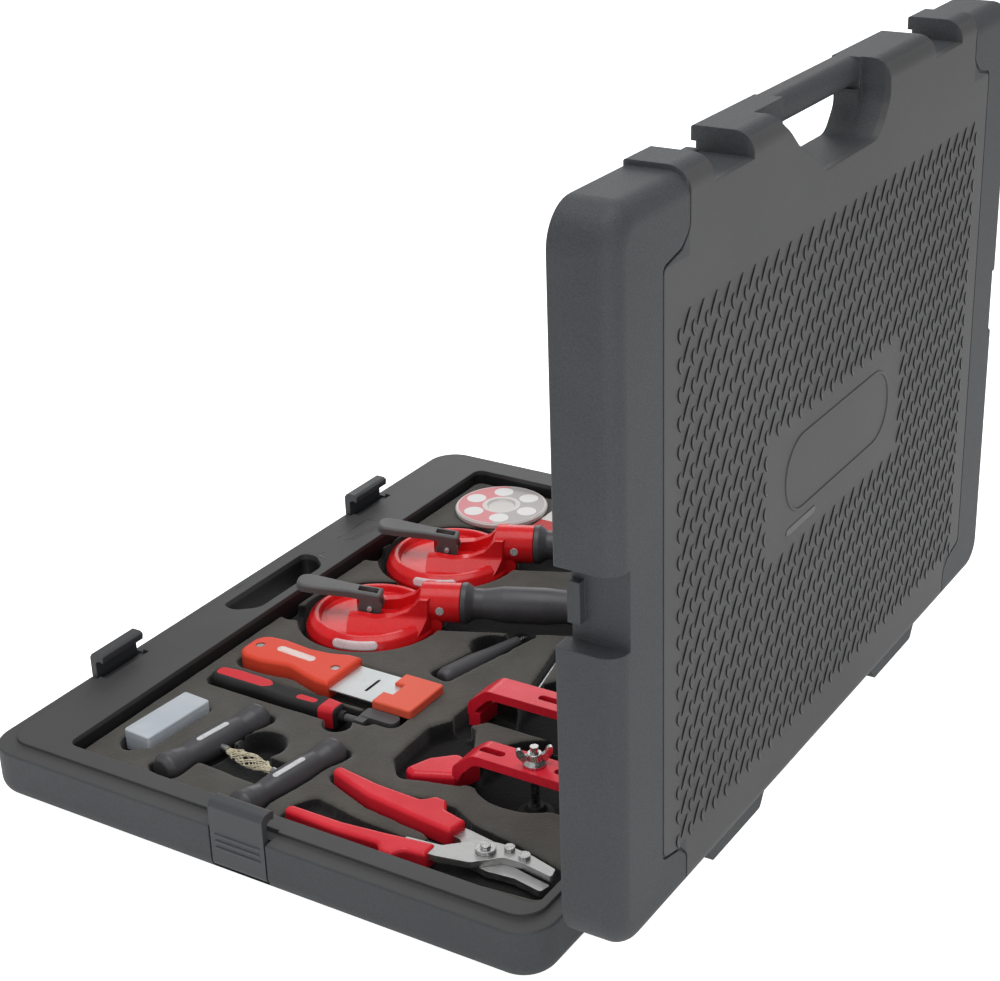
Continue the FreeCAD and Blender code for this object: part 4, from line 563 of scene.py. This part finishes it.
# ------------------------------------------------------- tread on the lid
def tread():
    """Rows of small raised scales: each climbs gently and ends in a short steep curved step, whose face is painted
    near-black as the step's shadow.
    """
    m = Nodes("panel_tread")
    fine = m.noise(1500.0, 2.0)
    slow = m.noise(9.0, 3.0)
    col = m.mix(m.ramp(slow, 0.3, 0.7), lin((66, 66, 67)), lin((72, 72, 73)))
    col = m.mix(m.math("MULTIPLY", m.ramp(fine, 0.5, 0.75), 0.25), col, lin((86, 86, 88)))
    tread_mat = m.set(color=col, rough=m.mixf(fine, 0.42, 0.54), normal=m.bump(m.noise(2600.0, 2.0), 0.25, 0.00012), spec=0.42)
    # painted shade: the steep step faces get a near-black material in place of the shadow the step casts
    m = Nodes("panel_tread_step_shade")
    fine = m.noise(1500.0, 2.0)
    col = m.mix(m.math("MULTIPLY", m.ramp(fine, 0.4, 0.8), 0.4), lin((24, 24, 25)), lin((38, 38, 39)))
    step_shade_mat = m.set(color=col, rough=0.6, normal=m.bump(fine, 0.2, 0.0001), spec=0.2)
    MAT["tread"] = tread_mat
    Y = 0.28830
    verts, faces, mats = [], [], []

    def scale(path, width, height):
        # path: centre line of the steep edge, in (x, z) mm; slope runs towards -x
        n = len(path)
        base = len(verts)
        for i, (x, z) in enumerate(path):
            t = i / (n - 1)
            s = math.sin(math.pi * min(1.0, max(0.0, 0.06 + 0.88 * t))) ** 0.5
            h = height * s
            wd = width * (0.55 + 0.45 * s)
            verts.append(((x + 0.35) * MM, Y - 0.0001, z * MM))
            verts.append((x * MM, Y + h * 0.86 * MM, z * MM))
            verts.append(((x - 0.45) * MM, Y + h * MM, z * MM))
            verts.append(((x - wd * 0.45) * MM, Y + h * 0.62 * MM, z * MM))
            verts.append(((x - wd) * MM, Y - 0.0001, z * MM))
        for i in range(n - 1):
            a, b = base + i * 5, base + (i + 1) * 5
            for k in range(4):
                faces.append((a + k, b + k, b + k + 1, a + k + 1))
                # index 1 is the painted-shade material on the steep step face
                mats.append(1 if k == 0 else 0)
        faces.append(tuple(base + k for k in range(5)))
        mats.append(0)
        faces.append(tuple(base + (n - 1) * 5 + k for k in (4, 3, 2, 1, 0)))
        mats.append(0)
        faces.append(tuple([base + i * 5 for i in range(n - 1, -1, -1)] + [base + i * 5 + 4 for i in range(n)]))
        mats.append(0)

    px, pz = 16.25, 17.05
    x0, z0 = 229.9, 291.0
    for ci in range(-1, 30):
        for ri in range(-13, 9):
            hx, hz = x0 - ci * px, z0 + ri * pz
            for kind in (0, 1):
                if kind == 0:
                    # short hook: a "(" with its lower end swept towards -x
                    pts = [(hx - 2.0, hz + 4.6), (hx - 0.6, hz + 3.4), (hx + 0.1, hz + 1.6), (hx + 0.2, hz - 0.2), (hx - 0.5, hz - 2.1), (hx - 1.9, hz - 4.0), (hx - 3.2, hz - 5.2)]
                    c = (hx, hz)
                    wd, ht = 4.2, 0.85
                else:
                    sx, sz = hx - 9.8, hz + 7.4
                    pts = [(sx - 3.6, sz + 5.6), (sx - 2.2, sz + 3.9), (sx - 0.6, sz + 1.9), (sx + 0.9, sz - 0.4), (sx + 2.2, sz - 2.8), (sx + 3.2, sz - 5.2), (sx + 3.5, sz - 7.0)]
                    c = (sx, sz)
                    wd, ht = 4.0, 0.95
                x, z = c
                if x > 232 or x < -229 or z > 420 or z < 86:
                    continue
                if -104 < x < 111 and 214 < z < 306:
                    continue
                scale(pts, wd, ht)
    ob = mesh_object("lid_tread", verts, faces, tread_mat, True)
    ob.data.materials.append(step_shade_mat)
    # faces may have been reordered by validate only if invalid; they are all valid
    if len(ob.data.polygons) == len(mats):
        ob.data.polygons.foreach_set("material_index", mats)
    bm = bmesh.new()
    bm.from_mesh(ob.data)
    bmesh.ops.recalc_face_normals(bm, faces=bm.faces)
    bm.to_mesh(ob.data)
    bm.free()
    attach(ob, "lid")


tread()


# ------------------------------------------------------------- wire cord
def cord_bundle():
    lo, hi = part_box("pull_wire")
    a = Vector((204.5 + 2.6, -99 + 16.4, 28)) * MM
    b = Vector((216.0 - 2.4, -21.5 - 16.4, 28)) * MM
    axis = (b - a)
    length = axis.length
    u = axis.normalized()
    side = Vector((u.y, -u.x, 0))
    up = Vector((0, 0, 1))
    cu = bpy.data.curves.new("cord_strands", "CURVE")
    cu.dimensions = "3D"
    cu.bevel_depth = 0.00042
    cu.bevel_resolution = 2
    cu.use_fill_caps = True
    k = 14
    for i in range(k):
        ph = 2 * math.pi * i / k
        sp = cu.splines.new("POLY")
        n = 46
        sp.points.add(n - 1)
        for j in range(n):
            t = j / (n - 1)
            spread = 0.0021 + 0.0042 * math.sin(math.pi * t) ** 1.2
            ang = ph + t * 5.2 + 0.6 * noise.noise(Vector((i * 3.1, t * 3.0, 0.0)))
            off = side * (math.cos(ang) * spread) + up * (math.sin(ang) * spread * 0.5)
            wob = side * (0.0012 * noise.noise(Vector((i * 1.7, t * 5.0, 1.0))))
            p = a + axis * t + off + wob
            sp.points[j].co = (p.x, p.y, max(p.z, 0.0255), 1.0)
    # loose cut ends at both collars
    for i in range(14):
        e = a if i % 2 == 0 else b
        s = 1 if i % 2 == 0 else -1
        sp = cu.splines.new("POLY")
        sp.points.add(5)
        ang = 2.4 * i
        for j in range(6):
            t = j / 5
            p = e + u * (s * (0.001 + 0.009 * t)) + side * (math.cos(ang) * (0.0018 + 0.0045 * t * t)) + up * (abs(math.sin(ang)) * (0.001 + 0.002 * t))
            sp.points[j].co = (p.x, p.y, p.z, 1.0)
    ob = bpy.data.objects.new("cord_strands", cu)
    bpy.context.scene.collection.objects.link(ob)
    cu.materials.append(MAT["cord"])
    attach(ob, "wire_pulls")
    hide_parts("pull_wire")


cord_bundle()


# ------------------------------------------------- blank labels and marks
from mathutils.bvhtree import BVHTree


def tree_of(name):
    me = NODES[name].data
    mw = NODES[name].matrix_world
    return BVHTree.FromPolygons([mw @ v.co for v in me.vertices], [tuple(p.vertices) for p in me.polygons])


def decal(name, node_name, body, start, ray, length, width, mat, nu=28, nv=6, lift=0.00016, deep=0.0004):
    """Thin blank film pressed onto a surface: start(u, v) gives a point above it, ray its direction."""
    tree = tree_of(node_name)
    top, low = [], []
    for i in range(nu + 1):
        u = -1 + 2 * i / nu
        over = max(0.0, abs(u) * length / 2 - (length / 2 - width / 2)) / (width / 2)
        w = math.sqrt(max(0.02, 1 - over * over))
        for j in range(nv + 1):
            v = (-1 + 2 * j / nv) * w
            o, dr = start(u * length / 2, v * width / 2), ray(u * length / 2, v * width / 2)
            hit, nor, idx, dist = tree.ray_cast(o, dr, 0.08)
            if hit is None:
                return None
            if nor.dot(dr) > 0:
                nor = -nor
            top.append(hit + nor * lift)
            low.append(hit - nor * deep)
    n = len(top)
    faces = []
    k = nv + 1
    for i in range(nu):
        for j in range(nv):
            a = i * k + j
            faces.append((a, a + 1, a + k + 1, a + k))
            faces.append((n + a + k, n + a + k + 1, n + a + 1, n + a))
    ring = [j for j in range(k)] + [i * k + nv for i in range(1, nu + 1)] + [nu * k + j for j in range(nv - 1, -1, -1)] + [i * k for i in range(nu - 1, 0, -1)]
    for i in range(len(ring)):
        a, b = ring[i], ring[(i + 1) % len(ring)]
        faces.append((b, a, n + a, n + b))
    ob = mesh_object(name, top + low, faces, mat)
    bm = bmesh.new()
    bm.from_mesh(ob.data)
    bmesh.ops.recalc_face_normals(bm, faces=bm.faces)
    bm.to_mesh(ob.data)
    bm.free()
    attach(ob, body)
    return ob


def film(name, rgb, tint):
    """Printed film without print: pale, slightly cloudy, a little of the colour below at its worn rim."""
    m = Nodes(name)
    n = m.noise(260.0, 4.0, 0.6)
    col = m.mix(m.math("MULTIPLY", m.ramp(n, 0.45, 0.75), 0.5), lin(rgb), lin(tint))
    e, bev = m.edge(0.0005, 5.0)
    col = m.mix(m.math("MULTIPLY", e, 0.5), col, lin(tint))
    return m.set(color=col, rough=m.mixf(n, 0.3, 0.45), normal=m.bump(n, 0.2, 0.00004, bev), coat=0.2)


MAT["film_red"] = film("blank_film_red", (236, 216, 218), (226, 150, 156))
MAT["film_orange"] = film("blank_film_orange", (240, 214, 208), (234, 150, 130))
MAT["film_grey"] = film("blank_film_grey", (214, 216, 218), (150, 152, 156))
# one dark film: the real dark label on the lid, and painted groove shade on the rim
MAT["film_dark"] = film("blank_film_dark", (44, 44, 45), (58, 58, 60))

DOWN = Vector((0, 0, -1))
decal("scraper_film", "scraper_handle", "scraper", lambda a, b: Vector((84.2 * MM + b + 0.06 * a, -114.5 * MM + a, 0.06)), lambda a, b: DOWN, 0.037, 0.0078, MAT["film_orange"])


def lifter_film(key, cx, cy):
    mid = math.radians(19.0)
    rad = 0.0517

    def start(a, b):
        t = mid + a / rad
        rr = rad + 0.75 * 0.015 - 0.66 * b
        zz = 0.0287 + 0.66 * 0.015 + 0.75 * b
        return Vector((cx * MM + rr * math.cos(t), cy * MM + rr * math.sin(t), zz))

    def ray(a, b):
        t = mid + a / rad
        return Vector((-0.75 * math.cos(t), -0.75 * math.sin(t), -0.66)).normalized()

    decal("lifter_%s_film" % key, "lifter_%s_body" % key, "lifter_%s" % key, start, ray, 0.038, 0.0074, MAT["film_red"], nu=36)


def centre_of(name):
    lo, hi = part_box(name)
    return (lo.x + hi.x) * 500.0, (lo.y + hi.y) * 500.0


for key in ("a", "b"):
    cx, cy = centre_of("lifter_%s_cup" % key)
    lifter_film(key, cx, cy)

PA = math.radians(171.0)
for key, px, py in (("near", 204.5, -99.0), ("far", 216.0, -21.5)):
    ux, uy = math.cos(PA), math.sin(PA)
    decal("pull_%s_film" % key, "pull_handle_%s" % key, "wire_pulls",
          lambda a, b, px=px, py=py: Vector((px * MM + ux * a - uy * (b - 0.0012), py * MM + uy * a + ux * (b - 0.0012), 0.06)), lambda a, b: DOWN, 0.030, 0.0042, MAT["film_grey"])


def capsule_ring():
    """Raised oval rim in the middle of the lid, blank inside, with a small dark blank strip below it."""
    Y = 0.28830
    cx, cz, L, H = 1.5, 265.5, 165.0, 51.0
    r = H / 2
    path = []
    for i in range(25):
        t = -math.pi / 2 + math.pi * i / 24
        path.append((cx + L / 2 - r + r * math.cos(t), cz + r * math.sin(t), math.cos(t), math.sin(t)))
    for i in range(25):
        t = math.pi / 2 + math.pi * i / 24
        path.append((cx - L / 2 + r + r * math.cos(t), cz + r * math.sin(t), math.cos(t), math.sin(t)))
    prof = [(-1.3, -0.15), (-0.55, 0.62), (0.0, 0.72), (0.55, 0.62), (1.3, -0.15)]
    verts, faces = [], []
    n, k = len(path), len(prof)
    for x, z, nx, nz in path:
        for o, h in prof:
            verts.append(((x + nx * o) * MM, Y + h * MM, (z + nz * o) * MM))
    for i in range(n):
        a, b = i * k, ((i + 1) % n) * k
        for j in range(k):
            jj = (j + 1) % k
            faces.append((a + j, a + jj, b + jj, b + j))
    ob = mesh_object("lid_oval_rim", verts, faces, MAT["tread"])
    bm = bmesh.new()
    bm.from_mesh(ob.data)
    bmesh.ops.recalc_face_normals(bm, faces=bm.faces)
    bm.to_mesh(ob.data)
    bm.free()
    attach(ob, "lid")
    decal("lid_strip", "lid_shell", "lid", lambda a, b: Vector((59.5 * MM + a, 0.33, 230.2 * MM + b)), lambda a, b: Vector((0, -1, 0)), 0.046, 0.0056, MAT["film_dark"], lift=0.0002)


capsule_ring()


def rim_groove_shades():
    """Thin dark strips laid on the rim beside the carry slot: painted shade standing in for the short grooves and the
    small blank raised bar moulded there.
    """
    items = [((20, -225.4), (-26, -222.6), 0.8), ((-58.6, -201.5), (-66.5, -199.0), 0.7), ((-55.5, -190.0), (-58.6, -201.5), 0.7),
             ((-92, -204.5), (-135, -204.0), 0.55), ((-92, -196.5), (-131, -188.5), 0.6), ((-135, -204.0), (-140, -187.5), 0.55), ((-96, -192.0), (-126, -186.0), 0.5)]
    for i, ((x0, y0), (x1, y1), w) in enumerate(items):
        length = math.hypot(x1 - x0, y1 - y0) * MM
        ux, uy = (x1 - x0) * MM / length, (y1 - y0) * MM / length
        mx, my = (x0 + x1) / 2 * MM, (y0 + y1) / 2 * MM
        # painted shade: each strip is a thin near-black film over the rim in place of the groove's shade
        decal("rim_groove_shade_%d" % i, "base_shell", "case_base", lambda a, b: Vector((mx + ux * a - uy * b, my + uy * a + ux * b, 0.06)), lambda a, b: DOWN, length, w * 2 * MM, MAT["film_dark"], nu=10, nv=3, lift=0.00012, deep=0.0006)


rim_groove_shades()


# ------------------------------------------------------------ floor, light
def floor():
    m = Nodes("studio_floor")
    n = m.noise(3.0, 2.0)
    col = m.mix(n, lin((246, 246, 246)), lin((250, 250, 250)))
    mat = m.set(color=col, rough=0.9, spec=0.1, normal=m.bump(m.noise(300.0), 0.03, 0.0002))
    m.bsdf.inputs["Emission Color"].default_value = (1, 1, 1, 1)
    seen = m.add("ShaderNodeLightPath").outputs["Is Camera Ray"]
    m.put(m.bsdf.inputs["Emission Strength"], m.mixf(seen, 0.28, 0.92))
    s = 14.0
    z = -0.0004
    ob = mesh_object("studio_floor", [(-s, -s, z), (s, -s, z), (s, s, z), (-s, s, z)], [(0, 1, 2, 3)], mat, False)


floor()


def lamp(name, loc, target, size, power, color=(1, 1, 1), size_y=None):
    d = bpy.data.lights.new(name, "AREA")
    d.shape = "RECTANGLE"
    d.size = size
    d.size_y = size_y or size
    d.energy = power
    d.color = color
    ob = bpy.data.objects.new(name, d)
    ob.location = loc
    ob.rotation_mode = "QUATERNION"
    ob.rotation_quaternion = (Vector(target) - Vector(loc)).to_track_quat("-Z", "Y")
    bpy.context.scene.collection.objects.link(ob)


lamp("key", (1.2, 2.3, 1.2), (0, 0.1, 0.2), 1.8, 6.5, (1.0, 0.99, 0.98))
lamp("low", (1.35, 1.35, 0.25), (0.2, 0.3, 0.1), 0.8, 4.6, (1.0, 1.0, 1.0))
lamp("top", (0.2, 0.1, 2.7), (0, 0, 0), 2.2, 38.0)
lamp("back", (-2.9, -1.5, 1.2), (0, 0, 0.05), 1.7, 15.0)
lamp("fill", (2.6, -0.6, 0.9), (0, 0, 0.2), 1.6, 3.2, (0.97, 0.985, 1.0))
world = bpy.data.worlds.new("studio")
bpy.context.scene.world = world
world.use_nodes = True
wt = world.node_tree
bg = wt.nodes["Background"]
bg.inputs[0].default_value = (0.98, 0.99, 1.0, 1)
path = wt.nodes.new("ShaderNodeLightPath")
level = wt.nodes.new("ShaderNodeMapRange")
level.inputs[3].default_value = 0.42
level.inputs[4].default_value = 1.3
wt.links.new(path.outputs["Is Camera Ray"], level.inputs[0])
wt.links.new(level.outputs[0], bg.inputs[1])

scene = bpy.context.scene
scene.view_settings.view_transform = "Standard"

# -------------------------------------------------------------------- camera
yaw, pitch, roll, f = 0.573167709, 0.425470623, 0.0362565623, 2013.7
F = Vector((-math.cos(yaw) * math.cos(pitch), -math.sin(yaw) * math.cos(pitch), -math.sin(pitch)))
r = F.cross(Vector((0, 0, 1))).normalized()
d = F.cross(r).normalized()
R2 = r * math.cos(roll) + d * math.sin(roll)
D2 = -r * math.sin(roll) + d * math.cos(roll)
ax = (F + R2 * ((500 - 501.1) / f) + D2 * ((490.5 - 488.4) / f)).normalized()
X = (R2 - ax * R2.dot(ax)).normalized()
Yc = -(ax.cross(X))
Yc = -D2 + ax * D2.dot(ax)
Yc = (Yc - X * Yc.dot(X)).normalized()
cam_data = bpy.data.cameras.new("camera")
cam_data.sensor_width = 36.0
cam_data.lens = f / 1000.0 * 36.0
cam_data.clip_end = 50.0
cam_data.clip_start = 0.05
cam = bpy.data.objects.new("camera", cam_data)
rot = Matrix((X, Yc, -ax)).transposed()
cam.matrix_world = Matrix.Translation(Vector((1.13658, 0.75705, 0.78588))) @ rot.to_4x4()
scene.collection.objects.link(cam)
scene.camera = cam

bpy.context.view_layer.update()
